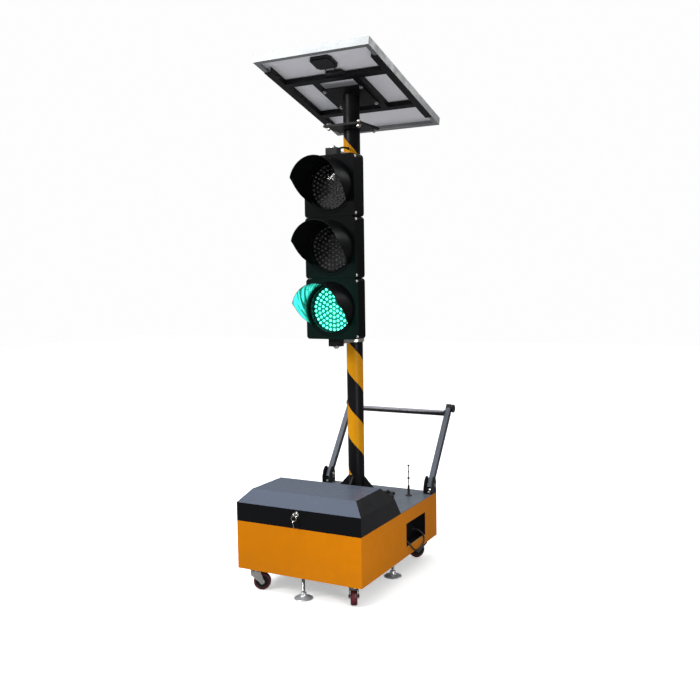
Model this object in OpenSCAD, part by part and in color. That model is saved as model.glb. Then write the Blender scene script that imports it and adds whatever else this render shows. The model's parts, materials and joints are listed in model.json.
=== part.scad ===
/* [Trolley base] */
// Width of the sheet-steel base across the trolley
base_w = 600; // [560:5:640]
// Length of the base from front to back
base_d = 800; // [780:5:840]
// Clearance under the base
base_z = 102; // [98:1:106]
// Height of the side walls
wall_h = 209; // [195:1:225]
// Thickness of the base's sheet steel
sheet = 2; // [1.5:0.5:3]

/* [Lid and deck] */
// Length of the lid's foot from the front
lid_d = 384; // [370:1:390]
// Height of the lid's upright walls
lid_wall_h = 80; // [70:1:90]
// Whole height of the lid
lid_h = 132; // [120:1:140]
// How far the lid's side chamfers run in
lid_side_run = 48; // [40:1:60]
// How far the lid's front chamfer runs in
lid_front_run = 52; // [40:1:60]
// How far the lid's sloping back runs in
lid_back_run = 104; // [90:1:115]

/* [Mast] */
// Outer diameter of the mast and of the upper pole
mast_od = 76; // [70:1:80]
// Inner diameter of both pipes
mast_id = 70; // [60:1:72]
// Distance of the mast's axis behind the front face
mast_back = 545; // [535:1:555]
// Height of the joint between the two flanges
flange_z = 2028; // [1990:1:2060]
// Side of the square flanges
flange_w = 190; // [180:1:200]

/* [Signal head] */
// Distance from one lamp's centre to the next
lamp_pitch = 267.5; // [265:0.5:270]
// Width of the head
head_w = 247; // [240:1:252]
// Height of the bottom lamp's centre
lamp_z = 1210; // [1190:1:1230]
// Distance from the mast's axis forward to the doors' face
head_reach = 223; // [215:1:235]
// Diameter of the lens
lens_d = 208; // [200:1:210]
// Length of a visor at its top
visor_l = 143; // [130:1:155]

/* [Solar panel] */
// Width of the panel
panel_w = 554; // [540:1:570]
// Length of the panel, front to back
panel_l = 782; // [760:1:800]
// Depth of the panel's aluminium frame
panel_t = 35; // [30:1:40]
// Slope of the panel, down to the back
panel_tilt = 14.6; // [10:0.1:20]
// Height of the panel's underside on the mast's axis
panel_z = 2171; // [2150:1:2200]

/* [Handle] */
// Lean of the handle from upright, to the back
handle_lean = 36.5; // [30:0.5:40]
// Length of an arm above its pivot
arm_l = 435; // [420:1:450]
// Side of the arms' square tube
arm_w = 25; // [20:1:28]
// Distance from the base's middle to each arm
arm_x = 278; // [274:0.5:279]

/* [Casters and feet] */
// Diameter of a caster wheel
wheel_d = 75; // [70:1:75]
// How far a wheel trails behind its swivel pin
trail = 28; // [24:1:30]
// Diameter of a levelling foot's disc
pad_d = 80; // [70:1:90]

/* [Hidden] */
$fn = 48;
eps = 0.01;

// Heights
wall_top = base_z + wall_h;
deck_t = 2;
deck_z = wall_top + deck_t;
floor_t = 3;
floor_z = base_z + floor_t;
lid_z = wall_top + 0.5;

// Handle pivot, behind the front face and above the ground
pivot_back = 780;
pivot_z = deck_z + 37;
clevis_bolt_back = 758;
bar_at = 385;
bar_side = -7;
bar_d = 27;
cap_at = 422;
cap_side = 8;
cap_d = 40;
cap_t = 12;

// Height of the lock, and how far its keys reach in front of the lid
lock_z = 372;
key_reach = 30.5;
key_hole_y = key_reach - 8.5;

// The row's origin lies midway between the keys' front and the handle's back
cap_back = pivot_back + cap_at * sin(handle_lean) + cap_side * cos(handle_lean) + cap_d / 2;
front_y = -(cap_back - key_reach) / 2;
half_w = base_w / 2;
back_y = front_y + base_d;
mast_y = front_y + mast_back;

// Bolts, as outer diameters and hexagon widths across corners
bolt_d = 12;
bolt_hole = 13;
bolt_hex = 21;
bolt_head = 7;
foot_bolts = 110;
flange_bolts = 76;
flange_t = 5;

// Mast foot
foot_w = 270;
foot_t = 10;
foot_top = deck_z + foot_t;
gusset_run = 88;
gusset_rise = 100;
gusset_t = 8;

// Signal head
lamp_h = lamp_pitch - 1;
head_y = mast_y - head_reach;
door_t = 25;
housing_y = head_y + door_t + 0.3;
housing_d = 66;
shell_t = 3;
hinge_x = head_w / 2 + 4.5;
head_top = lamp_z + 2.5 * lamp_pitch;
head_bottom = lamp_z - 0.5 * lamp_pitch;
visor_r = lens_d / 2 + 11;
visor_t = 2.5;
dome = 10;
cable_z = head_top + 51;

// Panel, in its own sloping frame
rail_x = panel_w / 2;
rail_w = 34;
rail_t = 3;
rail_leg = 22;
rail_half = 298;
cross_v = 163;
cross_w = 30;
inner_x = 84;
plate_half = 98;
plate_t = 6;
glass_w0 = 29;

// Casters: swivel pin places and the way each wheel trails
caster_x = 240;
caster_in = 45;
axle_z = wheel_d / 2 + 1.5;
wheel_w = 30;
turn_fl = 28;
turn_fr = 118;
turn_rl = 200;
turn_rr = 231;

// Levelling feet
stem_d = 14;
foot_in = 45;
foot_side_x = 229;
foot_side_back = 446;

// Side opening and the recess behind it
open_y0 = 441;
open_y1 = 656;
open_z0 = 141;
open_z1 = 251;
recess_x = 246;
recess_t = 1.5;

// Charging lead: outward, behind the front face, above the ground
lead_d = 7;
lead_points = [
  [262, 472, 170], [266, 472, 170], [272, 472, 169], [280, 471, 166], [289, 471, 161], [297, 472, 154],
  [304, 475, 146], [308, 480, 137], [311, 488, 128], [312, 498, 120], [312, 510, 114],
  [312, 524, 110], [312, 538, 108], [312, 551, 107], [312, 564, 108], [312, 578, 110],
  [312, 592, 114], [312, 604, 120], [311, 614, 128], [308, 622, 137], [304, 627, 146],
  [297, 630, 154], [289, 631, 161], [280, 631, 166], [272, 630, 169], [266, 630, 170],
  [262, 630, 170]
];
// Signal cable: from the top bracket's block up into the mast
head_cable_d = 9;
head_cable = [
  [0, 158, 30], [0, 152, 30], [0, 146, 31], [0, 136, 34], [0, 122, 39], [0, 106, 44], [0, 88, 48],
  [0, 70, 50], [0, 54, 51], [0, 39.5, 51]
];

// ---------- shared shapes ----------

module block(lo, hi) translate(lo) cube(hi - lo);

module rod(d, h, z = 0) translate([0, 0, z]) cylinder(d = d, h = h);

module tube(od, id, h) difference() {
  cylinder(d = od, h = h);
  translate([0, 0, -1]) cylinder(d = id, h = h + 2);
}

module rod_x(d, x0, x1) translate([x0, 0, 0]) rotate([0, 90, 0]) cylinder(d = d, h = x1 - x0);

module rod_y(d, y0, y1) translate([0, y0, 0]) rotate([-90, 0, 0]) cylinder(d = d, h = y1 - y0);

// Rectangle with round corners, centred
module round_rect(w, h, r) {
  square([w - 2 * r, h], center = true);
  square([w, h - 2 * r], center = true);
  for (x = [-1, 1], y = [-1, 1]) translate([x * (w / 2 - r), y * (h / 2 - r)]) circle(r = r);
}

// Convex outline moved in by t: each corner is where its two moved edges meet
function unit(v) = v / norm(v);
function inset(p, t) = [
  for (i = [0 : len(p) - 1])
    let (n = len(p), a = unit(p[i] - p[(i + n - 1) % n]), b = unit(p[(i + 1) % n] - p[i]))
    p[i] + t * unit([-a.y - b.y, a.x + b.x]) / sqrt((1 + a * b) / 2)
];

// Bolt or screw along Z with its head's foot at z = 0
module hex_head(across, h) cylinder(d = across, h = h, $fn = 6);

// Ring of points round one point of a route, square to the route
function ring(p, dir, r, n) =
  let (u = unit(cross(dir, [0.11, 0.2, 1])), v = unit(cross(dir, u)))
  [for (k = [0 : n - 1]) p + r * (cos(360 * k / n) * u + sin(360 * k / n) * v)];

// Round cord along a route, as one closed solid
module cord(route, d, n = 8) {
  last = len(route) - 1;
  function along(i) = unit(route[min(i + 1, last)] - route[max(i - 1, 0)]);
  rings = [for (i = [0 : last]) each ring(route[i], along(i), d / 2, n)];
  sides = [
    for (i = [0 : last - 1], k = [0 : n - 1])
      [i * n + k, i * n + (k + 1) % n, (i + 1) * n + (k + 1) % n, (i + 1) * n + k]
  ];
  first_end = [for (k = [n - 1 : -1 : 0]) k];
  last_end = [for (k = [0 : n - 1]) last * n + k];
  polyhedron(rings, concat([first_end], sides, [last_end]));
}

// ---------- trolley base ----------

module base_shell() color("darkorange") difference() {
  union() {
    difference() {
      block([-half_w, front_y, base_z], [half_w, back_y, wall_top]);
      block([-half_w + sheet, front_y + sheet, base_z - 1], [half_w - sheet, back_y - sheet, wall_top + 1]);
    }
    difference() {
      block([-half_w + 1, front_y + 1, wall_top - sheet], [half_w - 1, back_y - 1, wall_top]);
      block([-half_w + 26, front_y + 26, wall_top - 5], [half_w - 26, front_y + lid_d - 14, wall_top + 1]);
      block([-half_w + 40, front_y + lid_d + 26, wall_top - 5], [half_w - 40, back_y - 50, wall_top + 1]);
    }
  }
  block([half_w - 5, front_y + open_y0, open_z0], [half_w + 5, front_y + open_y1, open_z1]);
  for (x = [-1, 1]) bolt_hole_at(x * arm_x, front_y + clevis_bolt_back);
}

// Keeper inside the lid: the lock's cam turns in under its lip
module lock_keeper() color("silver") translate([32, front_y, 0]) {
  block([0, 10, wall_top], [24, 37, wall_top + 2]);
  block([0, 35, wall_top + 1], [24, 37, lock_z + 12.5]);
  block([0, 23, lock_z + 10.5], [24, 37, lock_z + 12.5]);
}

module bolt_hole_at(x, y) translate([x, y, wall_top - 10]) cylinder(d = 9, h = 30);

module base_floor() color("dimgray") difference() {
  block([-half_w + sheet, front_y + sheet, base_z], [half_w - sheet, back_y - sheet, floor_z]);
  each_foot() translate([0, 0, base_z - 1]) cylinder(d = stem_d + 2, h = 10);
}

module rear_deck() color([0.27, 0.29, 0.32]) difference() {
  block([-half_w, front_y + lid_d + 2, wall_top], [half_w, back_y, deck_z]);
  translate([0, mast_y, wall_top - 1]) cylinder(d = 50, h = 10);
  translate([0, mast_y, wall_top - 1]) bolt_holes(foot_bolts);
  translate([gland_x, front_y + gland_back, wall_top - 1]) cylinder(d = 16, h = 10);
  translate([antenna_x, front_y + antenna_back, wall_top - 1]) cylinder(d = 10, h = 10);
  for (x = [-1, 1]) bolt_hole_at(x * arm_x, front_y + clevis_bolt_back);
}

module bolt_holes(at) for (x = [-1, 1], y = [-1, 1])
  translate([x * at, y * at, 0]) cylinder(d = bolt_hole, h = 40);

module side_recess() color("black") difference() {
  block([recess_x - recess_t, front_y + open_y0 - 4, open_z0 - 4],
    [half_w - sheet, front_y + open_y1 + 4, open_z1 + 4]);
  block([recess_x, front_y + open_y0 - 2.5, open_z0 - 2.5],
    [half_w + 1, front_y + open_y1 + 2.5, open_z1 + 2.5]);
}

inlet_at = [recess_x, 630, 170];
gland_at = [recess_x, 472, 170];

module charger_inlet() color("silver") {
  translate([0, front_y, 0]) for (p = [inlet_at, gland_at]) translate(p) {
    rod_x(26, 0, 3);
    rod_x(18, 3, 10);
    rod_x(12, 10, 16);
  }
}

module charge_lead() color([0.08, 0.08, 0.09]) translate([0, front_y, 0]) cord(lead_points, lead_d);

module battery() color([0.1, 0.1, 0.12]) translate([0, front_y, floor_z]) {
  block([-165, 60, 0], [165, 232, 205]);
  for (x = [-1, 1]) translate([x * 140, 90, 205]) cylinder(d = 18, h = 14);
}

module controller() color([0.2, 0.25, 0.3]) translate([0, front_y, floor_z]) {
  block([-95, 262, 0], [95, 352, 55]);
  block([-80, 352, 8], [80, 358, 30]);
}

// ---------- mast ----------

module mast_foot() color("black") difference() {
  translate([0, mast_y, 0]) {
    block([-foot_w / 2, -foot_w / 2, deck_z], [foot_w / 2, foot_w / 2, foot_top]);
    for (a = [0 : 90 : 270]) rotate([0, 0, a]) rotate([90, 0, 0])
      translate([0, 0, -gusset_t / 2]) linear_extrude(gusset_t)
        polygon([
          [mast_od / 2, foot_top], [mast_od / 2 + gusset_run, foot_top],
          [mast_od / 2 + gusset_run, foot_top + 6], [mast_od / 2, foot_top + gusset_rise]
        ]);
  }
  translate([0, mast_y, deck_z - 1]) cylinder(d = 50, h = 20);
  translate([0, mast_y, deck_z - 1]) bolt_holes(foot_bolts);
}

module mast_pipe() color("gold") difference() {
  translate([0, mast_y, foot_top]) tube(mast_od, mast_id, flange_z - flange_t - foot_top);
  translate([0, mast_y, cable_z]) rod_y(14, -50, 0);
}

module square_flange(z) difference() {
  translate([0, mast_y, z]) block([-flange_w / 2, -flange_w / 2, 0], [flange_w / 2, flange_w / 2, flange_t]);
  translate([0, mast_y, z - 1]) cylinder(d = 60, h = 20);
  translate([0, mast_y, z - 1]) bolt_holes(flange_bolts);
}

module mast_flange() color("black") square_flange(flange_z - flange_t);

module upper_pole() color("black") {
  square_flange(flange_z);
  difference() {
    translate([0, mast_y, flange_z + flange_t]) tube(mast_od, mast_id, panel_z - flange_z + 35);
    on_panel() block([-200, -200, -rail_t - plate_t], [200, 200, 120]);
  }
}

// Bolt with its head above z = 0 and a nut under the parts it holds
module through_bolt(grip) {
  hex_head(bolt_hex, bolt_head);
  rod(bolt_d, grip + 14, -grip - 14);
  translate([0, 0, -grip - 10]) hex_head(bolt_hex, 10);
}

module clevis_bolt() {
  hex_head(14, 5);
  rod(8, 20, -20);
  translate([0, 0, -deck_t - sheet - 5 - 6]) hex_head(14, 6);
}

module frame_bolts() color("silver") {
  for (x = [-1, 1]) translate([x * arm_x, front_y + clevis_bolt_back, deck_z + 5]) clevis_bolt();
  for (x = [-1, 1], y = [-1, 1]) {
    translate([x * foot_bolts, mast_y + y * foot_bolts, foot_top]) through_bolt(foot_t + deck_t);
    translate([x * flange_bolts, mast_y + y * flange_bolts, flange_z + flange_t]) through_bolt(2 * flange_t);
    on_panel() translate([x * (inner_x + 7), y * 80, -rail_t - plate_t]) {
      translate([0, 0, -6]) hex_head(16, 6);
      rod(8, rail_t + plate_t + 9);
    }
  }
}

// ---------- solar panel ----------

module on_panel() translate([0, mast_y, panel_z]) rotate([-panel_tilt, 0, 0]) children();

module panel_plate() color("black") on_panel() difference() {
  block([-plate_half, -plate_half + 2, -rail_t - plate_t], [plate_half, plate_half - 2, -rail_t]);
  for (x = [-1, 1], y = [-1, 1]) translate([x * (inner_x + 7), y * 80, -20]) cylinder(d = 9, h = 40);
}

// Angle section along the panel, its upright leg on the inner side
module side_angle(side) {
  x0 = rail_x - rail_w;
  mirror([side < 0 ? 1 : 0, 0, 0]) {
    block([x0, -rail_half, -rail_t], [rail_x, rail_half, -eps]);
    block([x0, -rail_half, -eps], [x0 + rail_t, rail_half, rail_leg]);
  }
}

module panel_side_rails() color("black") on_panel() for (s = [-1, 1]) side_angle(s);

module cross_angle(v) {
  end = rail_x - rail_w - 0.2;
  block([-end, v - cross_w / 2, -rail_t], [end, v + cross_w / 2, 0]);
  block([-end, v - cross_w / 2, 0], [end, v - cross_w / 2 + rail_t, rail_leg]);
}

module inner_angle(side) mirror([side < 0 ? 1 : 0, 0, 0]) {
  end = cross_v - cross_w / 2 - 0.2;
  difference() {
    block([inner_x, -end, -rail_t], [inner_x + rail_w, end, 0]);
    for (y = [-1, 1]) translate([inner_x + 7, y * 80, -20]) cylinder(d = 9, h = 40);
  }
  block([inner_x + rail_w - rail_t, -end, 0], [inner_x + rail_w, end, rail_leg]);
}

module panel_crossbars() color("black") on_panel() {
  for (s = [-1, 1]) cross_angle(s * cross_v);
  for (s = [-1, 1]) inner_angle(s);
}

module panel_frame() color("gainsboro") on_panel() difference() {
  block([-rail_x, -panel_l / 2, 0], [rail_x, panel_l / 2, panel_t]);
  block([-rail_x + 20, -panel_l / 2 + 20, -1], [rail_x - 20, panel_l / 2 - 20, panel_t + 1]);
  block([-rail_x + 2, -panel_l / 2 + 2, 2], [rail_x - 2, panel_l / 2 - 2, panel_t - 1.5]);
  block([-rail_x + 10, -panel_l / 2 + 10, 3], [rail_x - 10, panel_l / 2 - 10, panel_t + 1]);
}

module laminate(z0, z1)
  block([-rail_x + 2.2, -panel_l / 2 + 2.2, z0], [rail_x - 2.2, panel_l / 2 - 2.2, z1]);

module panel_glass() color("navy") on_panel() laminate(glass_w0, panel_t - 1.6);

module panel_backsheet() color("whitesmoke") on_panel() laminate(glass_w0 - 1.5, glass_w0);

module junction_box() color("black") on_panel() translate([6, -274, glass_w0 - 1.5 - 18]) linear_extrude(18)
  polygon([[-52, -30], [-40, -46], [40, -46], [52, -30], [52, 30], [40, 46], [-40, 46], [-52, 30]]);

// ---------- on the deck ----------

antenna_x = 207;
antenna_back = 680;
gland_x = 150;
gland_back = 611;

module antenna() color("black") translate([antenna_x, front_y + antenna_back, deck_z]) {
  rod(9.4, 14, -12);
  rod(30, 4);
  rod(16, 4, 4);
  rod(12, 42, 8);
  rod(4, 100, 50);
  rod(8, 9, 80);
  rod(7, 6, 112);
  rod(7.5, 8, 142);
}

module deck_gland() color("black") translate([gland_x, front_y + gland_back, deck_z]) {
  hex_head(24, 5);
  rod(19, 9, 5);
  rod(15.5, 12, -12);
  rod(8, 8, 14);
}

// ---------- handle ----------

ear_t = 5;
ear_in = 16.5;

module ear(x) translate([x, front_y, 0]) rotate([90, 0, 90]) linear_extrude(ear_t) difference() {
  polygon([
    [740, deck_z], [800, deck_z], [800, deck_z + 50], [793, deck_z + 70], [784, deck_z + 78],
    [768, deck_z + 78], [752, deck_z + 62], [740, deck_z + 32]
  ]);
  translate([pivot_back, pivot_z]) circle(d = bolt_d + 0.2);
}

module clevis(side) mirror([side < 0 ? 1 : 0, 0, 0]) {
  ear(arm_x - ear_in - ear_t);
  ear(arm_x + ear_in);
  difference() {
    block([arm_x - ear_in - ear_t, front_y + 740, deck_z],
      [arm_x + ear_in + ear_t, front_y + 800, deck_z + 5]);
    bolt_hole_at(arm_x, front_y + clevis_bolt_back);
  }
}

module handle_clevises() color("black") for (s = [-1, 1]) clevis(s);

module handle_bolt(side) mirror([side < 0 ? 1 : 0, 0, 0]) translate([0, front_y + pivot_back, pivot_z]) {
  out = arm_x + ear_in + ear_t;
  rod_x(bolt_d, arm_x - ear_in - ear_t - 10, out);
  translate([out, 0, 0]) rotate([0, 90, 0]) hex_head(bolt_hex, 5);
  translate([arm_x - ear_in - ear_t - 8, 0, 0]) rotate([0, 90, 0]) hex_head(bolt_hex, 8);
}

module handle_bolts() color("silver") for (s = [-1, 1]) handle_bolt(s);

// Handle frame: z runs up the arm from its pivot, y to the back
module on_handle() translate([0, front_y + pivot_back, pivot_z]) rotate([-handle_lean, 0, 0]) children();

module arm(x) difference() {
  block([x - arm_w / 2, -arm_w / 2, -16], [x + arm_w / 2, arm_w / 2, arm_l]);
  block([x - arm_w / 2 + 2, -arm_w / 2 + 2, -18], [x + arm_w / 2 - 2, arm_w / 2 - 2, arm_l - 3]);
  rod_x(bolt_d + 0.1, x - 20, x + 20);
}

module handle_arms() color("dimgray") on_handle() for (s = [-1, 1]) arm(s * arm_x);

module handle_crossbar() color("dimgray") on_handle() {
  inner = arm_x - arm_w / 2;
  translate([0, bar_side, bar_at]) rod_x(bar_d, -inner, inner);
  for (s = [-1, 1]) mirror([s < 0 ? 1 : 0, 0, 0]) translate([0, cap_side, cap_at])
    rod_x(cap_d, arm_x + arm_w / 2, arm_x + arm_w / 2 + cap_t);
}

// ---------- casters ----------

module caster_at(sx, back) translate([sx * caster_x, front_y + back, 0]) children();

pin_d = 12;
crown_z = wheel_d + 5;

module caster_plate() {
  block([-38, -29, base_z - 4], [38, 29, base_z]);
  for (x = [-1, 1], y = [-1, 1]) translate([x * 30, y * 21, base_z - 8]) hex_head(13, 4);
  rod(44, 6, base_z - 10);
  rod(pin_d, base_z - crown_z - 2, crown_z - 2);
  rod(18, 4, crown_z - 4.4);
}

module caster_plates() color("silver") for (sx = [-1, 1], back = [caster_in, base_d - caster_in])
  caster_at(sx, back) caster_plate();

module fork_leg(y) translate([0, y, 0]) rotate([90, 0, 0]) translate([0, 0, -1.5]) linear_extrude(3) {
  polygon([
    [-20, crown_z + 4], [22, crown_z + 4], [trail + 10, axle_z], [trail - 9, axle_z - 4],
    [-20, crown_z - 10]
  ]);
  translate([trail, axle_z]) circle(r = 11);
}

module caster_fork(turn) rotate([0, 0, turn]) {
  side = wheel_w / 2 + 3;
  difference() {
    union() {
      block([-20, -side - 1.5, crown_z], [22, side + 1.5, crown_z + 4]);
      rod(40, base_z - 10.5 - crown_z, crown_z);
    }
    rod(pin_d + 0.15, 40, crown_z - 2);
  }
  fork_leg(-side);
  fork_leg(side);
  translate([trail, 0, axle_z]) {
    rod_y(8, -side - 5, side + 5);
    rod_y(14, side + 1.5, side + 5);
    rod_y(14, -side - 5, -side - 1.5);
  }
}

module caster_wheel(turn) rotate([0, 0, turn]) translate([trail, 0, axle_z]) rotate([90, 0, 0])
  rotate_extrude($fn = 72) polygon([
    [4.06, -wheel_w / 2], [12, -wheel_w / 2], [12, -wheel_w / 2 + 3], [26, -wheel_w / 2 + 3],
    [28, -wheel_w / 2 + 1], [wheel_d / 2 - 4, -wheel_w / 2 + 1], [wheel_d / 2 - 1, -wheel_w / 2 + 4],
    [wheel_d / 2, -wheel_w / 2 + 8], [wheel_d / 2, wheel_w / 2 - 8], [wheel_d / 2 - 1, wheel_w / 2 - 4],
    [wheel_d / 2 - 4, wheel_w / 2 - 1], [28, wheel_w / 2 - 1], [26, wheel_w / 2 - 3],
    [12, wheel_w / 2 - 3], [12, wheel_w / 2], [4.06, wheel_w / 2]
  ]);

module caster_fork_fl() color("silver") caster_at(-1, caster_in) caster_fork(turn_fl);
module caster_fork_fr() color("silver") caster_at(1, caster_in) caster_fork(turn_fr);
module caster_fork_rl() color("silver") caster_at(-1, base_d - caster_in) caster_fork(turn_rl);
module caster_fork_rr() color("silver") caster_at(1, base_d - caster_in) caster_fork(turn_rr);
module caster_wheel_fl() color("maroon") caster_at(-1, caster_in) caster_wheel(turn_fl);
module caster_wheel_fr() color("maroon") caster_at(1, caster_in) caster_wheel(turn_fr);
module caster_wheel_rl() color("maroon") caster_at(-1, base_d - caster_in) caster_wheel(turn_rl);
module caster_wheel_rr() color("maroon") caster_at(1, base_d - caster_in) caster_wheel(turn_rr);

// ---------- levelling feet ----------

foot_places = [
  [0, foot_in], [0, base_d - foot_in], [-foot_side_x, foot_side_back], [foot_side_x, foot_side_back]
];

module each_foot() for (p = foot_places) translate([p.x, front_y + p.y, 0]) children();

module foot_bushes() color("silver") each_foot() difference() {
  union() {
    translate([0, 0, floor_z]) hex_head(26, 14);
    translate([0, 0, base_z - 9]) hex_head(24, 9);
  }
  translate([0, 0, base_z - 20]) cylinder(d = stem_d + 0.16, h = 60);
}

module levelling_foot(p) color("silver") translate([p.x, front_y + p.y, 0])
  rotate_extrude($fn = 72) polygon([
    [0, 0], [pad_d / 2 - 1, 0], [pad_d / 2, 1.5], [pad_d / 2 - 1, 4], [pad_d / 2 - 10, 7], [17, 12],
    [13, 18], [12, 26], [stem_d / 2, 28], [stem_d / 2, 128], [stem_d / 2 - 1, 129.5], [0, 129.5]
  ]);

module foot_front() levelling_foot(foot_places[0]);
module foot_rear() levelling_foot(foot_places[1]);
module foot_left() levelling_foot(foot_places[2]);
module foot_right() levelling_foot(foot_places[3]);

// ---------- lid ----------

lid_top_w = base_w - 2 * lid_side_run;
lid_side_view = [
  [0, -20], [lid_d, -20], [lid_d, 0], [lid_d - lid_back_run, lid_h], [lid_front_run, lid_h], [0, lid_wall_h]
];
lid_front_view = [
  [-half_w, -20], [half_w, -20], [half_w, lid_wall_h], [lid_top_w / 2, lid_h], [-lid_top_w / 2, lid_h],
  [-half_w, lid_wall_h]
];

module lid_block(t) intersection() {
  translate([-half_w - 1, 0, 0]) rotate([90, 0, 90]) linear_extrude(base_w + 2)
    polygon(inset(lid_side_view, t));
  translate([0, lid_d + 1, 0]) rotate([90, 0, 0]) linear_extrude(lid_d + 2)
    polygon(inset(lid_front_view, t));
}

module lid_shell() color([0.2, 0.22, 0.25]) difference() {
  translate([0, front_y, lid_z]) difference() {
    lid_block(0);
    lid_block(sheet);
    block([-half_w - 5, -5, -30], [half_w + 5, lid_d + 5, 0]);
  }
  translate([0, front_y, lock_z]) rod_y(19, -5, 10);
}

hinge_y = front_y + lid_d + 6;
hinge_z = deck_z + 5.5;
hinge_half = 25;
knuckle = 9.7;

module on_hinges() for (x = [-180, 180]) translate([x, hinge_y, hinge_z]) children();

module lid_hinge_fixed() color("black") on_hinges() {
  block([-hinge_half, 6, -5.5], [hinge_half, 24, -3.5]);
  for (s = [-1, 1]) mirror([s < 0 ? 1 : 0, 0, 0]) {
    rod_x(9, 10, hinge_half);
    block([10, 0, -5.5], [hinge_half, 7, -3.5]);
    block([10, 0, -4], [hinge_half, 4, 0]);
  }
  rod_x(4, -hinge_half, hinge_half);
}

back_slope = atan(lid_h / lid_back_run);

module lid_hinge_moving() color("black") on_hinges() difference() {
  union() {
    rod_x(9, -knuckle, knuckle);
    translate([0, -6, -lid_z_gap]) rotate([-back_slope, 0, 0])
      block([-knuckle, -28, 0.02], [knuckle, -1, 2]);
    rotate([-back_slope, 0, 0]) block([-knuckle, -1.8, -8], [knuckle, 1.4, -3]);
  }
  rod_x(4.12, -20, 20);
}
lid_z_gap = hinge_z - lid_z;

module lock_barrel() color("silver") translate([0, front_y, lock_z]) difference() {
  union() {
    rod_y(24, -3, 0);
    rod_y(18.8, -1, 27);
  }
  rod_y(12.1, -10, 40);
}

module key_bow(r, hole_off) difference() {
  rotate([90, 0, 90]) translate([0, 0, -1.1]) linear_extrude(2.2) circle(r = r);
  translate([0, hole_off.x, hole_off.y]) rod_x(5, -5, 5);
}

module lock_cam() color("silver") translate([0, front_y, lock_z]) {
  rod_y(12, -4, 31.5);
  block([-9, 28.5, -57], [9, 31.5, 9]);
  translate([0, -18, 0]) key_bow(10.5, [18 - key_hole_y, 0]);
  block([-1.1, -9, -4], [1.1, -3, 4]);
}

module key_set() color("silver") translate([0, front_y - key_hole_y, lock_z]) {
  translate([0, 0, -12]) rotate([90, 0, 0]) rotate_extrude($fn = 36)
    translate([12, 0]) circle(r = 0.9, $fn = 16);
  translate([0, 0, -29]) {
    key_bow(8.5, [0, 5]);
    block([-1, -3.5, -34], [1, 3.5, -6]);
  }
}

// ---------- signal head ----------

// Lamps from the bottom: 0 green, 1 amber, 2 red
module on_lamp(k) translate([0, 0, lamp_z + k * lamp_pitch]) children();

// Upright slab of a lamp's outline between two depths
module slab(y0, y1, w, h, r) translate([0, y1, 0]) rotate([90, 0, 0]) linear_extrude(y1 - y0)
  round_rect(w, h, r);

module housing() {
  difference() {
    slab(housing_y, housing_y + housing_d, head_w, lamp_h, 14);
    slab(housing_y - 1, housing_y + housing_d - shell_t, head_w - 2 * shell_t, lamp_h - 2 * shell_t, 11);
  }
  for (s = [-1, 1]) translate([-hinge_x, housing_y - 0.3, s * 100]) {
    rod(4, 24, -12);
    block([-3, 0.8, -12], [5.5, 6, -7]);
    block([-3, 0.8, 7], [5.5, 6, 12]);
    for (z = [-12, 7]) translate([0, 0, z]) cylinder(d = 8, h = 5);
  }
}

module signal_housings() color([0.09, 0.09, 0.1]) for (k = [0 : 2]) on_lamp(k) housing();

module door(k) color([0.07, 0.07, 0.08]) on_lamp(k) difference() {
  union() {
    difference() {
      slab(head_y, head_y + door_t, head_w, lamp_h, 14);
      slab(head_y + shell_t, head_y + door_t + 1, head_w - 2 * shell_t, lamp_h - 2 * shell_t, 11);
    }
    translate([0, head_y, 0]) rod_y(lens_d + 22, 0, 18);
    for (s = [-1, 1]) translate([-hinge_x, housing_y - 0.3, s * 100]) {
      rod(8, 13.4, -6.7);
      block([-3, -6, -6.7], [5.5, -1, 6.7]);
    }
  }
  translate([0, head_y, 0]) rod_y(lens_d - 4, -5, 40);
  translate([0, head_y, 0]) rod_y(lens_d + 0.4, 8, 40);
  for (s = [-1, 1]) translate([-hinge_x, housing_y - 0.3, s * 100 - 12]) cylinder(d = 4.12, h = 24);
}

module door_green() door(0);
module door_amber() door(1);
module door_red() door(2);

// Side view of a visor: forward, then up
visor_view = [
  [0, -72], [30, -58], [58, -40], [84, -18], [106, 2], [126, 18], [visor_l, 28],
  [visor_l, visor_r + 10], [0, visor_r + 10]
];

module visor(k) color("black") on_lamp(k) translate([0, head_y, 0]) intersection() {
  rotate([90, 0, 0]) difference() {
    cylinder(r = visor_r, h = 170, $fn = 96);
    translate([0, 0, -1]) cylinder(r = visor_r - visor_t, h = 180, $fn = 96);
  }
  translate([-200, 0, 0]) rotate([90, 0, 90]) linear_extrude(400)
    polygon([for (p = visor_view) [-p.x, p.y]]);
}

module visor_green() visor(0);
module visor_amber() visor(1);
module visor_red() visor(2);

// Domed lens: arc of the dome, then the same arc inside it
lens_in = lens_d / 2 - 7;
dome_r = (lens_in * lens_in + dome * dome) / (2 * dome);
dome_a = asin(lens_in / dome_r);
function arc(r, a) = [r * sin(a), dome - dome_r + r * cos(a)];

module lens(k) color([0.3, 0.5, 0.5, 0.5]) on_lamp(k) translate([0, head_y + 8.2, 0]) rotate([90, 0, 0])
  rotate_extrude($fn = 96) {
    steps = 8;
    outer = [for (i = [0 : steps]) arc(dome_r, dome_a * i / steps)];
    inner = [for (i = [steps : -1 : 0]) arc(dome_r - 3, dome_a * i / steps)];
    brim = [[lens_in, -0.4], [lens_d / 2, -0.4], [lens_d / 2, -6], [lens_in - 3, -6]];
    polygon(concat(outer, brim, inner));
  }

module lens_green() lens(0);
module lens_amber() lens(1);
module lens_red() lens(2);

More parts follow.
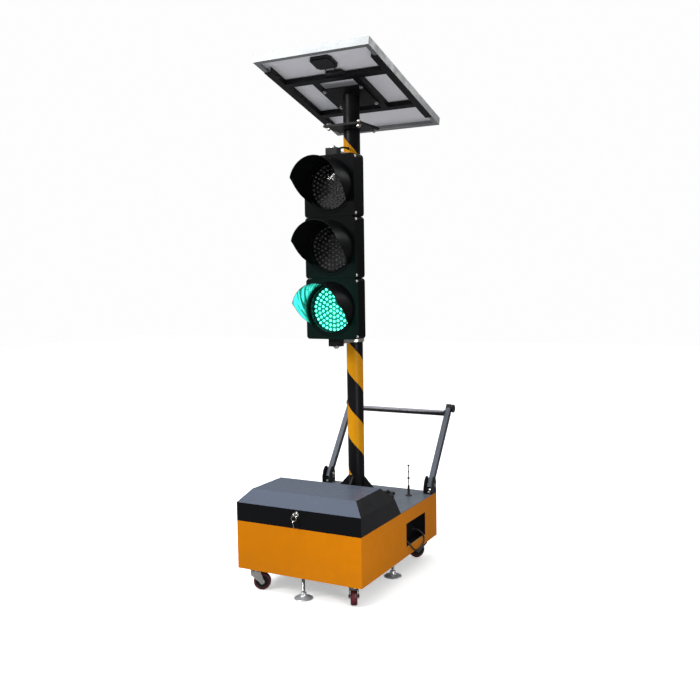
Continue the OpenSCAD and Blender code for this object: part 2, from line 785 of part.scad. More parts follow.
module led_modules() color([0.1, 0.4, 0.35]) for (k = [0 : 2]) on_lamp(k) translate([0, housing_y + 4, 0]) {
  rod_y(lens_d - 2, 0, 5);
  rod_y(lens_d - 40, 5, 40);
  for (a = [0 : 90 : 270]) rotate([0, a, 0]) translate([lens_d / 2 - 12, 0, 0])
    rod_y(8, 5, housing_d - shell_t - 4);
}

// ---------- signal mounting ----------

band_h = 20;
block_y = head_y + 45;

module at_end(up) translate([0, 0, up > 0 ? head_top - 0.5 : head_bottom + 0.5])
  mirror([0, 0, up > 0 ? 0 : 1]) children();

module bracket_block() difference() {
  block([-28, block_y - 20, 0], [28, block_y + 20, 34]);
  translate([0, block_y, 20]) cylinder(d = 12.4, h = 20);
}

module signal_brackets() color("black") for (up = [-1, 1]) at_end(up) bracket_block();

// Split collar round the mast, drawn shut by a bolt through its two ears at the back
module collar() difference() {
  union() {
    cylinder(d = mast_od + 12, h = band_h);
    block([-8, 36, 0], [8, 62, band_h]);
    block([-17, -mast_reach, 0], [17, -mast_od / 2 - 3, band_h]);
  }
  translate([0, 0, -5]) cylinder(d = mast_od + 0.6, h = 50);
  block([-1.5, 30, -1], [1.5, 70, band_h + 1]);
  translate([0, 53, band_h / 2]) rod_x(9.6, -30, 30);
}

module clamp(up) at_end(up) {
  translate([0, mast_y, 5]) {
    collar();
    translate([0, 53, band_h / 2]) {
      rod_x(9, -14, 17);
      translate([-14, 0, 0]) rotate([0, 90, 0]) hex_head(16, 6);
      translate([8, 0, 0]) rotate([0, 90, 0]) hex_head(16, 6);
    }
  }
  translate([0, block_y, 34]) {
    hex_head(26, 8);
    rod(12, 24, -12);
  }
}
mast_reach = mast_y - block_y - 20;

module signal_clamps() color("silver") for (up = [-1, 1]) clamp(up);

module signal_cable() color([0.08, 0.08, 0.09])
  translate([0, mast_y, head_top]) cord([for (p = head_cable) [p.x, -p.y, p.z]], head_cable_d);

base_shell();
lock_keeper();
base_floor();
rear_deck();
side_recess();
charger_inlet();
charge_lead();
battery();
controller();
mast_foot();
mast_pipe();
mast_flange();
frame_bolts();
upper_pole();
panel_plate();
panel_side_rails();
panel_crossbars();
panel_frame();
panel_glass();
panel_backsheet();
junction_box();
antenna();
deck_gland();
handle_clevises();
handle_bolts();
caster_plates();
foot_bushes();
lid_hinge_fixed();
lid_shell();
lid_hinge_moving();
lock_barrel();
lock_cam();
key_set();
handle_arms();
handle_crossbar();
caster_fork_fl();
caster_fork_fr();
caster_fork_rl();
caster_fork_rr();
caster_wheel_fl();
caster_wheel_fr();
caster_wheel_rl();
caster_wheel_rr();
foot_front();
foot_rear();
foot_left();
foot_right();
signal_housings();
led_modules();
signal_brackets();
signal_clamps();
signal_cable();
door_red();
door_amber();
door_green();
visor_red();
visor_amber();
visor_green();
lens_red();
lens_amber();
lens_green();
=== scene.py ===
import json
import math

import bmesh
import bpy
from mathutils import Matrix, Vector


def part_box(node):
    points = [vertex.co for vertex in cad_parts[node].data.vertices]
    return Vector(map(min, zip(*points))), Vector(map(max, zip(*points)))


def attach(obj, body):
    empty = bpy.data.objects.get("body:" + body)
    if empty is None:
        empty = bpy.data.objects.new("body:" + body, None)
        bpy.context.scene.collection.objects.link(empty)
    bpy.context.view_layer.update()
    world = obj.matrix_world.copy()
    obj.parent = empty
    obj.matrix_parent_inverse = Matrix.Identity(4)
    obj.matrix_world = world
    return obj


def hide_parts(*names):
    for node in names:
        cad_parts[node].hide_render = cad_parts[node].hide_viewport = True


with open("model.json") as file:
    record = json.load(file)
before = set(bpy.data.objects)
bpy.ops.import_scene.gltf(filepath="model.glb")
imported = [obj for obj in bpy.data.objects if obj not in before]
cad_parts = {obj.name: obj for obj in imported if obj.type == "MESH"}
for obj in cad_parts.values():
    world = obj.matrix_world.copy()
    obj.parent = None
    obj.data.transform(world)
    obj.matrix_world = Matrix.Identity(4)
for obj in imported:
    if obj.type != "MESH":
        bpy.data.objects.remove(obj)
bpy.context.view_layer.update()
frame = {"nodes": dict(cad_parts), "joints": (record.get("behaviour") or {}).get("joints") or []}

# ---------- places, from the frame ----------


def over(node, z=0.0):
    """The point at height z on the upright through a node's middle."""
    lo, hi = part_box(node)
    return Vector(((lo[0] + hi[0]) / 2, (lo[1] + hi[1]) / 2, z))


def centre(node):
    lo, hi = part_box(node)
    return (Vector(lo) + Vector(hi)) / 2


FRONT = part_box("base_shell")[0][1]
MAST = over("mast_pipe")
ON_MAST = Matrix.Translation(MAST)
MAST_RADIUS = 0.038
FOOT_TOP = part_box("mast_foot")[0][2] + 0.01
PANEL_TILT = math.radians(14.6)
PANEL = Matrix.Translation((MAST.x, MAST.y, 2.171)) @ Matrix.Rotation(-PANEL_TILT, 4, "X")
ARM_OUT = 0.278  # from the object's middle to the middle of a handle arm
ARM_HALF = 0.0125
CLEVIS_HALF = 0.0165  # from an arm's middle to the clevis plate beside it
CLEVIS_PLATE = 0.005
LAMPS = ("green", "amber", "red")
LIT = "green"
CASTERS = ("fl", "fr", "rl", "rr")
FEET = ("front", "rear", "left", "right")
CORNERS = [(sx, sy) for sx in (-1, 1) for sy in (-1, 1)]
JOINT = {j["name"]: j for j in frame["joints"]}


# ---------- camera ----------

def make_camera():
    """The photograph's view: its heading, dip and lean, its lens, and its place from the front face."""
    yaw, pitch, roll = math.radians(27.83), math.radians(4.61), math.radians(-0.85)
    ahead = Vector((-math.sin(yaw) * math.cos(pitch), math.cos(yaw) * math.cos(pitch), -math.sin(pitch)))
    right = Vector((math.cos(yaw), math.sin(yaw), 0))
    up = right.cross(ahead)
    r = right * math.cos(roll) + up * math.sin(roll)
    u = up * math.cos(roll) - right * math.sin(roll)
    data = bpy.data.cameras.new("camera")
    data.sensor_width = 36
    data.lens = data.sensor_width * 830.4 / 700
    data.clip_end = 60
    cam = bpy.data.objects.new("camera", data)
    bpy.context.scene.collection.objects.link(cam)
    m = Matrix((r, u, -ahead)).transposed().to_4x4()
    m.translation = Vector((1.7779, FRONT - 2.8707, 1.3226))
    cam.matrix_world = m
    bpy.context.scene.camera = cam


make_camera()

# ---------- materials ----------


class Nodes:
    """Adds and joins the shader nodes of a new material, or of a copy of another one."""

    def __init__(self, name, base=None):
        self.mat = base.copy() if base else bpy.data.materials.new(name)
        self.mat.name = name
        self.mat.use_nodes = True
        self.tree = self.mat.node_tree
        self.bsdf = self.tree.nodes["Principled BSDF"]
        self.coord = self.tree.nodes.new("ShaderNodeTexCoord").outputs["Object"]

    def add(self, kind, **values):
        node = self.tree.nodes.new(kind)
        for key, value in values.items():
            setattr(node, key, value)
        return node

    def put(self, socket, value):
        if hasattr(value, "links"):
            self.tree.links.new(value, socket)
        else:
            socket.default_value = value

    def noise(self, scale, detail=4, rough=0.5, stretch=(1, 1, 1), offset=(0, 0, 0)):
        where = self.add("ShaderNodeMapping")
        self.put(where.inputs["Vector"], self.coord)
        where.inputs["Scale"].default_value = stretch
        where.inputs["Location"].default_value = offset
        n = self.add("ShaderNodeTexNoise")
        self.put(n.inputs["Vector"], where.outputs[0])
        n.inputs["Scale"].default_value = scale
        n.inputs["Detail"].default_value = detail
        n.inputs["Roughness"].default_value = rough
        return n.outputs["Fac"]

    def spread(self, value, low, high, to_low=0.0, to_high=1.0):
        n = self.add("ShaderNodeMapRange")
        self.put(n.inputs["Value"], value)
        for key, v in (("From Min", low), ("From Max", high), ("To Min", to_low), ("To Max", to_high)):
            n.inputs[key].default_value = v
        return n.outputs["Result"]

    def maths(self, op, a, b=0.0, c=0.0):
        n = self.add("ShaderNodeMath", operation=op)
        for i, v in enumerate((a, b, c)):
            self.put(n.inputs[i], v)
        return n.outputs[0]

    def times(self, a, b):
        return self.maths("MULTIPLY", a, b)

    def plus(self, a, b):
        return self.maths("ADD", a, b)

    def minus(self, a, b):
        return self.maths("SUBTRACT", a, b)

    def mix(self, fac, a, b):
        n = self.add("ShaderNodeMix", data_type="RGBA")
        self.put(n.inputs["Factor"], fac)
        self.put(n.inputs["A"], a)
        self.put(n.inputs["B"], b)
        return n.outputs["Result"]

    def xyz(self):
        n = self.add("ShaderNodeSeparateXYZ")
        self.put(n.inputs[0], self.coord)
        return n.outputs

    def set(self, **values):
        for key, v in values.items():
            self.put(self.bsdf.inputs[key.replace("_", " ")], v)

    def bump(self, height, strength, distance):
        b = self.add("ShaderNodeBump")
        b.inputs["Strength"].default_value = strength
        b.inputs["Distance"].default_value = distance
        self.put(b.inputs["Height"], height)
        self.put(self.bsdf.inputs["Normal"], b.outputs[0])


def rgb(c, k=1.0):
    return (c[0] * k, c[1] * k, c[2] * k, 1)


def painted(name, colour, rough=0.42, grain=1400, bump=0.12, dust=(0.3, 0.28, 0.25), dusty=0.12, vary=0.1,
            coat=0.0, worn=(0.2, 0.2, 0.2), wear=0.25, low_dust=0.0, shine=0.3, top=None,
            painted_light_way=(0, 0, 1), tint_shine=(1, 1, 1)):
    """Sprayed or powder-coated metal, or moulded plastic: mottled colour, scuffs, fine grain, a little dust.

    low_dust adds dust near the ground, and top is a lighter second colour for the faces that look along the
    way given next: painted light, where the light falls on them.
    """
    n = Nodes(name)
    cloud = n.noise(3.1, 3, 0.6)
    fine = n.noise(38, 5, 0.6)
    tint = n.mix(n.spread(cloud, 0.3, 0.7), rgb(colour, 1 - vary), rgb(colour, 1 + vary))
    tint = n.mix(n.spread(fine, 0.35, 0.75, 0, 0.3), tint, rgb(colour, 0.82))
    scuff = n.noise(9, 8, 0.72, (1, 1, 4.5), (3, 1, 2))
    tint = n.mix(n.spread(scuff, 0.67, 0.8, 0, wear), tint, rgb(worn))
    film = n.spread(n.noise(5.5, 6, 0.65, (1, 1, 1), (7, 2, 5)), 0.45, 0.75, 0, dusty)
    if low_dust:
        low = n.spread(n.xyz()["Z"], 0.1, 0.22, low_dust, 0)
        film = n.maths("MAXIMUM", film, n.times(low, n.spread(fine, 0.3, 0.7, 0.3, 1)))
    tint = n.mix(film, tint, rgb(dust))
    # Painted light: faces that look along the given way take the lighter top colour, as where the light
    # falls on them.
    if top:
        facing = n.add("ShaderNodeVectorMath", operation="DOT_PRODUCT")
        n.put(facing.inputs[0], n.add("ShaderNodeTexCoord").outputs["Normal"])
        facing.inputs[1].default_value = painted_light_way
        lit_from_above = n.spread(facing.outputs["Value"], 0.7, 0.84)
        tint = n.mix(n.times(lit_from_above, n.spread(cloud, 0.2, 0.8, 0.9, 1)), tint, rgb(top))
    n.set(Base_Color=tint, Coat_Weight=coat, Coat_Roughness=0.12)
    n.set(Specular_IOR_Level=shine, Specular_Tint=rgb(tint_shine))
    n.set(Roughness=n.spread(n.noise(16, 5, 0.6, (1, 1, 1), (1, 4, 2)), 0.3, 0.7, rough - 0.06,
                             rough + 0.09))
    n.bump(n.noise(grain, 2, 0.5), bump, 0.0004)
    return n.mat


def bare(name, colour, rough=0.28, stretch=(1, 1, 1), bump=0.12, stain=(0.18, 0.17, 0.15), vary=0.12,
         metal=1.0):
    """Plated, brushed or anodised metal: drawn grain, cloudy polish and stains."""
    n = Nodes(name)
    grain = n.noise(160, 3, 0.5, stretch)
    cloud = n.noise(14, 5, 0.6)
    tint = n.mix(n.spread(grain, 0.3, 0.7), rgb(colour, 1 - vary), rgb(colour, 1 + vary))
    tint = n.mix(n.spread(n.noise(32, 8, 0.7, (1, 1, 1), (5, 5, 1)), 0.56, 0.72, 0, 0.5), tint, rgb(stain))
    n.set(Base_Color=tint, Metallic=metal)
    n.set(Roughness=n.spread(cloud, 0.3, 0.7, rough - 0.09, rough + 0.12))
    n.bump(grain, bump, 0.0003)
    return n.mat


def rubbery(name, colour, rough=0.62, dust=(0.24, 0.22, 0.19), dusty=0.25):
    """Rubber or a cord's sheath: dull, fine-grained and dusty."""
    n = Nodes(name)
    film = n.spread(n.noise(30, 7, 0.7), 0.5, 0.75, 0, dusty)
    tint = n.mix(n.spread(n.noise(11, 4, 0.6), 0.3, 0.7), rgb(colour, 0.8), rgb(colour, 1.25))
    n.set(Base_Color=n.mix(film, tint, rgb(dust)))
    n.set(Roughness=n.spread(n.noise(60, 4, 0.6), 0.3, 0.7, rough - 0.08, rough + 0.1))
    n.bump(n.noise(700, 3, 0.6), 0.25, 0.0005)
    return n.mat


def striped():
    """Gloss yellow tape with black bands that climb round the mast. The seam is at its back."""
    n = Nodes("mast_stripes")
    where = n.xyz()
    x, y, z = where["X"], n.minus(where["Y"], MAST.y), where["Z"]
    front = math.radians(27.8)  # the way that the band's middle looks
    across = n.minus(n.times(x, math.cos(front)), n.times(y, -math.sin(front)))
    ahead = n.minus(n.times(x, math.sin(front)), n.times(y, math.cos(front)))
    turn = n.maths("ARCTAN2", across, ahead)
    wave = n.spread(n.noise(22, 3, 0.6), 0.3, 0.7, -0.0006, 0.0006)
    climb = n.plus(n.plus(z, n.times(turn, 0.131 / math.pi)), wave)
    pitch = 0.306
    place = n.maths("FRACT", n.maths("DIVIDE", n.minus(climb, 0.711 - pitch * 4), pitch))
    black = n.times(n.spread(place, 0.521, 0.525, 1, 0), n.spread(place, 0.0, 0.004, 0, 1))
    black = n.maths("MAXIMUM", black, n.spread(z, 0.428, 0.429, 1, 0))  # the mast's foot is black
    cloud = n.spread(n.noise(6, 4, 0.6), 0.3, 0.7)
    yellow = n.mix(cloud, (0.6, 0.245, 0.002, 1), (0.76, 0.33, 0.002, 1))
    yellow = n.mix(n.spread(n.noise(24, 8, 0.72, (1, 1, 0.35)), 0.6, 0.78, 0, 0.55), yellow,
                   (0.16, 0.085, 0.02, 1))
    dark = n.mix(cloud, (0.004, 0.004, 0.005, 1), (0.007, 0.007, 0.009, 1))
    n.set(Base_Color=n.mix(black, yellow, dark), Specular_IOR_Level=0.14)
    n.set(Roughness=n.spread(n.noise(12, 5, 0.6), 0.3, 0.7, 0.3, 0.42))
    n.bump(n.plus(n.times(black, 0.6), n.times(n.noise(500, 2), 0.08)), 0.25, 0.0004)
    return n.mat


def glowing(name, core, strength):
    """A lit diode's glow, mottled a little."""
    n = Nodes(name)
    tint = n.mix(n.spread(n.noise(900, 2), 0.3, 0.7), rgb(core, 0.9), rgb(core, 1.08))
    n.set(Base_Color=rgb(core, 0.5), Roughness=0.25, Emission_Color=tint, Emission_Strength=strength)
    n.bump(n.noise(900, 2), 0.08, 0.0003)
    return n.mat


def clear(name, tint, alpha):
    """A clear moulded cover: faint prisms, dust and a hard shine."""
    n = Nodes(name)
    dust = n.spread(n.noise(40, 7, 0.7), 0.5, 0.8, 0, 0.12)
    n.set(Base_Color=n.mix(dust, rgb(tint), (0.4, 0.4, 0.4, 1)), Alpha=n.plus(dust, alpha))
    n.set(Roughness=n.spread(n.noise(30, 4), 0.3, 0.7, 0.05, 0.13), IOR=1.5)
    n.set(Coat_Weight=0.5, Coat_Roughness=0.03)
    n.bump(n.noise(220, 2), 0.1, 0.0004)
    return n.mat


def solar_cells():
    """Dark blue cells with silver fingers and bus bars under glass."""
    n = Nodes("solar_cells")
    mid = centre("panel_glass")
    where = n.xyz()
    y, z = n.minus(where["Y"], mid.y), n.minus(where["Z"], mid.z)
    along = n.minus(n.times(y, math.cos(PANEL_TILT)), n.times(z, math.sin(PANEL_TILT)))
    u = n.maths("FRACT", n.plus(n.maths("DIVIDE", where["X"], 0.0875), 8))
    v = n.maths("FRACT", n.plus(n.maths("DIVIDE", along, 0.084), 8.5))

    def far_from_half(t, limit):
        return n.maths("GREATER_THAN", n.maths("ABSOLUTE", n.minus(t, 0.5)), limit)

    gap = n.maths("MAXIMUM", far_from_half(u, 0.5 - 0.016), far_from_half(v, 0.5 - 0.016))
    bars = far_from_half(n.maths("FRACT", n.times(u, 3)), 0.487)
    fingers = n.maths("GREATER_THAN", n.maths("FRACT", n.times(v, 34)), 0.93)
    cell = n.mix(n.spread(n.noise(26, 5, 0.6), 0.3, 0.7), (0.004, 0.008, 0.03, 1), (0.01, 0.022, 0.075, 1))
    cell = n.mix(n.times(fingers, 0.16), cell, (0.3, 0.32, 0.36, 1))
    cell = n.mix(n.times(bars, 0.8), cell, (0.55, 0.56, 0.58, 1))
    cell = n.mix(gap, cell, (0.5, 0.52, 0.54, 1))
    n.set(Base_Color=n.mix(n.spread(n.noise(7, 6, 0.65), 0.5, 0.8, 0, 0.1), cell, (0.16, 0.16, 0.17, 1)))
    n.set(Roughness=n.spread(n.noise(9, 5), 0.3, 0.7, 0.12, 0.24), Specular_IOR_Level=0.12)
    n.set(Coat_Weight=0.28, Coat_Roughness=0.06)
    n.bump(n.noise(60, 2), 0.02, 0.0004)
    return n.mat


ORANGE = painted("orange_powder_coat", (0.63, 0.198, 0.0012), rough=0.46, grain=900, bump=0.14, dusty=0.04,
                 dust=(0.34, 0.14, 0.03), vary=0.05, worn=(0.4, 0.12,
                                                           0.006), wear=0.3, low_dust=0.14, shine=0.07)
DECK = painted("grey_deck_paint", (0.095, 0.112, 0.14), rough=0.36, grain=1100, dusty=0.15,
               dust=(0.16, 0.17, 0.19),
               worn=(0.05, 0.05, 0.06), wear=0.3, coat=0.1)
# The lid is black, its top and front chamfer a lighter grey: partly two-tone paint, partly painted light
# from the front-left, which leaves the side chamfer dark.
LID = painted("lid_paint_and_painted_light", (0.0032, 0.0032, 0.0038), rough=0.24, grain=1100, bump=0.08, dusty=0.03,
              dust=(0.03, 0.03, 0.035), worn=(0.003, 0.003, 0.004), wear=0.25, shine=0.13, top=(0.074, 0.09,
                      0.127),
              painted_light_way=(-0.1, -0.47, 0.877), tint_shine=(0.9, 0.95, 1.0))
BLACK = painted("black_powder_coat", (0.0065, 0.0065, 0.0075), rough=0.42, grain=1000, dusty=0.05,
                dust=(0.05, 0.05, 0.055),
                worn=(0.02, 0.02, 0.024), wear=0.2, shine=0.14)
HEAD = painted("signal_plastic", (0.0034, 0.0038, 0.004), rough=0.44, grain=1500, bump=0.18, dusty=0.03,
               dust=(0.02, 0.022, 0.024), worn=(0.01, 0.01, 0.01), wear=0.2, shine=0.035)
VISOR = painted("visor_plastic", (0.0042, 0.0046, 0.0049), rough=0.38, grain=1500, bump=0.16, dusty=0.03,
                dust=(0.02, 0.02, 0.024), worn=(0.01, 0.01, 0.01), wear=0.15, shine=0.06)
PLASTIC = painted("black_plastic", (0.011, 0.011, 0.013), rough=0.46, grain=1600, bump=0.2, dusty=0.06,
                  dust=(0.08, 0.08, 0.08), worn=(0.03, 0.03, 0.03), wear=0.2)
# The arms' faces that look forward and up take a lighter colour: painted light where the key light falls.
ARM = painted("arm_paint", (0.034, 0.037, 0.046), rough=0.32, grain=1100, dusty=0.06,
              dust=(0.12, 0.12, 0.14),
              worn=(0.03, 0.03, 0.04), wear=0.3, shine=0.25, top=(0.088, 0.097, 0.12), painted_light_way=(0, -0.8,
                      0.6))
# The top colour is a painted highlight along the bar's upper side, where the top light falls.
BAR = painted("bar_paint_and_painted_highlight", (0.012, 0.012, 0.015), rough=0.3, grain=1100, dusty=0.05,
              dust=(0.05, 0.05, 0.055),
              worn=(0.01, 0.01, 0.012), wear=0.3, coat=0.15, top=(0.2, 0.2, 0.235), painted_light_way=(0, -0.34, 0.94))
CASE = painted("battery_plastic", (0.02, 0.021, 0.026), rough=0.5, grain=1300)
BLUE = painted("controller_plastic", (0.03, 0.07, 0.16), rough=0.45, grain=1300)
SHEET = painted("backsheet_film", (0.88, 0.88, 0.92), rough=0.45, grain=500, bump=0.06, dusty=0.1,
                dust=(0.7, 0.7, 0.7), worn=(0.66, 0.67, 0.7), wear=0.2, vary=0.03)
# Painted light: the backsheet glows faintly, standing in for light that comes up from below and through the
# panel.
sheet_painted_glow_inputs = SHEET.node_tree.nodes["Principled BSDF"].inputs
sheet_painted_glow_inputs["Emission Color"].default_value = (0.92, 0.94, 1, 1)
sheet_painted_glow_inputs["Emission Strength"].default_value = 0.078
ALU = bare("anodised_aluminium", (0.36, 0.37, 0.375), rough=0.5, stretch=(1, 30, 1), vary=0.05,
           stain=(0.4, 0.4, 0.4),
           metal=0.8)
# Darker zinc for the casters that stand in shade: painted shade.
ZINC_PAINTED_SHADE = bare("zinc_painted_shade", (0.16, 0.16, 0.16), rough=0.4, stain=(0.07, 0.06, 0.05))
ZINC = bare("bright_zinc", (0.62, 0.61, 0.57), rough=0.32, stain=(0.24, 0.21, 0.15))
STEEL = bare("turned_steel", (0.66, 0.67, 0.68), rough=0.2, stretch=(1, 1, 40), vary=0.08)
CHROME = bare("polished_chrome", (0.72, 0.73, 0.75), rough=0.1, vary=0.03, bump=0.03,
              stain=(0.32, 0.31, 0.3))
SCREW = bare("bright_screw", (0.78, 0.78, 0.75), rough=0.3, vary=0.05, stain=(0.4, 0.38, 0.3),
             metal=0.35)
DISC = bare("satin_disc", (0.7, 0.71, 0.73), rough=0.3, vary=0.04, bump=0.05,
            stain=(0.4, 0.39, 0.37), metal=0.62)
KEY = bare("key_nickel", (0.66, 0.63, 0.55), rough=0.24, stain=(0.25, 0.2, 0.12))
CORD = rubbery("cord_sheath", (0.012, 0.012, 0.013))
TREAD = rubbery("maroon_tread", (0.105, 0.007, 0.013), rough=0.4, dust=(0.16, 0.1, 0.1), dusty=0.15)
CORE = painted("black_wheel_core", (0.007, 0.007, 0.008), rough=0.42, grain=1200, dusty=0.08,
               dust=(0.1, 0.09, 0.08),
               worn=(0.03, 0.03, 0.03))
# The sill is the recess's orange lip; this lighter, paler tan is painted light on its upward face.
SILL_PAINTED_LIGHT = painted("recess_sill_painted_light", (0.5, 0.25, 0.07), rough=0.4, grain=900, dusty=0.1, dust=(0.5, 0.4, 0.3),
               worn=(0.3, 0.14, 0.03))
STRIPES = striped()
CELLS = solar_cells()
BOARD = painted("diode_board", (0.006, 0.007, 0.007), rough=0.35, grain=900, dusty=0.05)
OFF_DIODE = painted("unlit_diode", (0.16, 0.165, 0.17), rough=0.16, grain=700, bump=0.03, dusty=0.1,
                    coat=0.8)
ON_DIODE = glowing("lit_green_diode", (0.1, 1.0, 0.7), 5.0)
ON_BOARD = glowing("lit_green_board", (0.0, 0.36, 0.24), 0.42)
COVER_OFF = clear("smoked_cover", (0.015, 0.016, 0.018), 0.14)
COVER_ON = clear("clear_cover", (0.02, 0.3, 0.24), 0.1)


def soften(o, width, segments, angle):
    """Bevels the edges that are sharper than the angle."""
    m = o.modifiers.new("soft_edges", "BEVEL")
    m.width = width
    m.segments = segments
    m.limit_method = "ANGLE"
    m.angle_limit = math.radians(angle)


def dress(node, mat, bevel=0.0, segments=2):
    """Gives a carried-over CAD node its material, and softens its sharp edges."""
    o = frame["nodes"][node]
    o.data.materials.clear()
    o.data.materials.append(mat)
    for p in o.data.polygons:
        p.material_index = 0
    if bevel:
        soften(o, bevel, segments, 38)


# ---------- mesh tools ----------


def linked(name, bm):
    """Turns a bmesh into an object in the scene."""
    mesh = bpy.data.meshes.new(name)
    bm.to_mesh(mesh)
    bm.free()
    o = bpy.data.objects.new(name, mesh)
    bpy.context.scene.collection.objects.link(o)
    return o


def piece(name, bm, body, mats, replaces=(), smooth=35, bevel=0.0):
    """Turns a bmesh into a named piece that rides on a body."""
    bmesh.ops.recalc_face_normals(bm, faces=bm.faces)
    o = linked(name, bm)
    for m in mats if isinstance(mats, list) else [mats]:
        o.data.materials.append(m)
    for p in o.data.polygons:
        p.use_smooth = True
    if bevel:
        soften(o, bevel, 2, 35)
    o.data.set_sharp_from_angle(angle=math.radians(smooth))
    if replaces:
        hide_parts(*replaces)
    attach(o, body)
    return o


def polar(r, a):
    return r * math.cos(a), r * math.sin(a)


def turned(degrees, axis="Z"):
    return Matrix.Rotation(math.radians(degrees), 4, axis)


def place(at, axis=(0, 0, 1)):
    """A matrix with its origin at a point and its Z along an axis."""
    return Matrix.Translation(at) @ Vector(axis).normalized().to_track_quat("Z", "Y").to_matrix().to_4x4()


def lathe(bm, profile, m, steps=48, mats=None):
    """Turns a profile of (radius, height) about m's Z. mats gives each stretch's material slot."""
    rings = []
    for r, h in profile:
        if r < 1e-7:
            rings.append([bm.verts.new(m @ Vector((0, 0, h)))])
            continue
        rings.append([bm.verts.new(m @ Vector((*polar(r, math.radians(360 * i / steps)), h)))
                      for i in range(steps)])
    for k, (a, b) in enumerate(zip(rings, rings[1:])):
        for i in range(steps):
            j = (i + 1) % steps
            if len(a) == 1 and len(b) == 1:
                continue
            if len(a) == 1:
                vs = (a[0], b[j], b[i])
            elif len(b) == 1:
                vs = (a[i], a[j], b[0])
            else:
                vs = (a[i], a[j], b[j], b[i])
            f = bm.faces.new(vs)
            f.material_index = mats[k] if mats else 0


def prism(bm, outline, z0, z1, m, mat=0, chamfer=0.0):
    """A closed block from an outline of (x, y) points between two heights, its rims chamfered."""
    mid = Vector((sum(p[0] for p in outline) / len(outline), sum(p[1] for p in outline) / len(outline)))

    def ring(z, shrink):
        out = []
        for p in outline:
            q = Vector(p) - mid
            q = mid + q * (1 - shrink / max(q.length, 1e-6))
            out.append(bm.verts.new(m @ Vector((q.x, q.y, z))))
        return out

    heights = [(z0, 0), (z1, 0)]
    if chamfer:
        heights = [(z0, chamfer), (z0 + chamfer, 0), (z1 - chamfer, 0), (z1, chamfer)]
    rings = [ring(*h) for h in heights]
    n = len(outline)
    for a, b in zip(rings, rings[1:]):
        for i in range(n):
            bm.faces.new((a[i], a[(i + 1) % n], b[(i + 1) % n], b[i])).material_index = mat
    bm.faces.new(list(reversed(rings[0]))).material_index = mat
    bm.faces.new(rings[-1]).material_index = mat


def box(bm, lo, hi, m=None, mat=0):
    m = m or Matrix.Identity(4)
    prism(bm, [(lo[0], lo[1]), (hi[0], lo[1]), (hi[0], hi[1]), (lo[0], hi[1])], lo[2], hi[2], m, mat)


def hexagon(across, turn=0):
    return [polar(across / 2, math.radians(turn + 60 * i)) for i in range(6)]


def hex_bolt(bm, m, across, head, shank=0.0, length=0.0, turn=0.0):
    """A hexagon head with a washer under it and a domed, chamfered top; its shank runs down."""
    washer = 0.0016
    top = washer + head
    rim, bore = across * 0.62, across * 0.3
    lathe(bm, [(bore, 0), (rim, 0), (rim, washer), (bore, washer)], m, 28)
    prism(bm, hexagon(across, turn), washer, top, m, chamfer=head * 0.14)
    lathe(bm, [(across * 0.36, top - 0.0002), (bore, top + 0.0006), (0, top + 0.0007)], m, 24)
    if shank:
        thread(bm, m, shank, -length, washer)


def thread(bm, m, d, z0, z1):
    """A threaded stud as turned ridges, its end chamfered."""
    pitch = d * 0.16
    n = max(2, int((z1 - z0) / pitch))
    prof = [(0, z0), (d * 0.4, z0)]
    for i in range(n):
        z = z0 + (z1 - z0) * (i + 0.5) / n
        prof += [(d * 0.445, z - pitch * 0.3), (d * 0.5, z)]
    prof += [(d * 0.45, z1), (0, z1)]
    lathe(bm, prof, m, 20)


def sweep(bm, path, radius, sides):
    """A round tube along points, closed at both ends."""
    pts = [Vector(p) for p in path]
    rings = []
    side = None
    for i, p in enumerate(pts):
        t = (pts[min(i + 1, len(pts) - 1)] - pts[max(i - 1, 0)]).normalized()
        if side is None:
            side = t.cross(Vector((0.11, 0.2, 1))).normalized()
        side = (side - t * side.dot(t)).normalized()
        other = t.cross(side)
        rings.append([bm.verts.new(p + radius * (math.cos(a) * side + math.sin(a) * other))
                      for a in (2 * math.pi * k / sides for k in range(sides))])
    for a, b in zip(rings, rings[1:]):
        for k in range(sides):
            bm.faces.new((a[k], a[(k + 1) % sides], b[(k + 1) % sides], b[k]))
    bm.faces.new(list(reversed(rings[0])))
    bm.faces.new(rings[-1])


def smooth_path(points, times=4):
    """The points' own smooth curve, more finely (Catmull-Rom)."""
    p = [Vector(q) for q in points]
    out = []
    for i in range(len(p) - 1):
        a, b, c, d = p[max(i - 1, 0)], p[i], p[i + 1], p[min(i + 2, len(p) - 1)]
        for k in range(times):
            t = k / times
            bend = (2 * a - 5 * b + 4 * c - d) * t * t + (3 * b - a - 3 * c + d) * t ** 3
            out.append(0.5 * ((2 * b) + (c - a) * t + bend))
    out.append(p[-1])
    return out


def p3(x, back, z):
    """A point from millimetres: across, behind the front face, above the ground."""
    return Vector((x / 1000, FRONT + back / 1000, z / 1000))


PIVOT = p3(0, 780, 350)  # of the handle


# ---------- charging lead ----------

LEAD = [
    (262, 472, 170), (266, 472, 170), (272, 472, 169), (280, 471, 166), (289, 471, 161), (297, 472, 154),
    (304, 475, 146), (308, 480, 137), (311, 488, 128), (312, 498, 120), (312, 510, 114),
    (312, 524, 110), (312, 538, 108), (312, 551, 107), (312, 564, 108), (312, 578, 110),
    (312, 592, 114), (312, 604, 120), (311, 614, 128), (308, 622, 137), (304, 627, 146),
    (297, 630, 154), (289, 631, 161), (280, 631, 166), (272, 630, 169), (266, 630, 170), (262, 630, 170)]


def charging_lead():
    path = smooth_path([p3(*p) for p in LEAD])
    bm = bmesh.new()
    sweep(bm, path, 0.0035, 18)
    lead = piece("charging_lead", bm, "trolley", CORD, replaces=["charge_lead"])


charging_lead()


# ---------- trolley base ----------

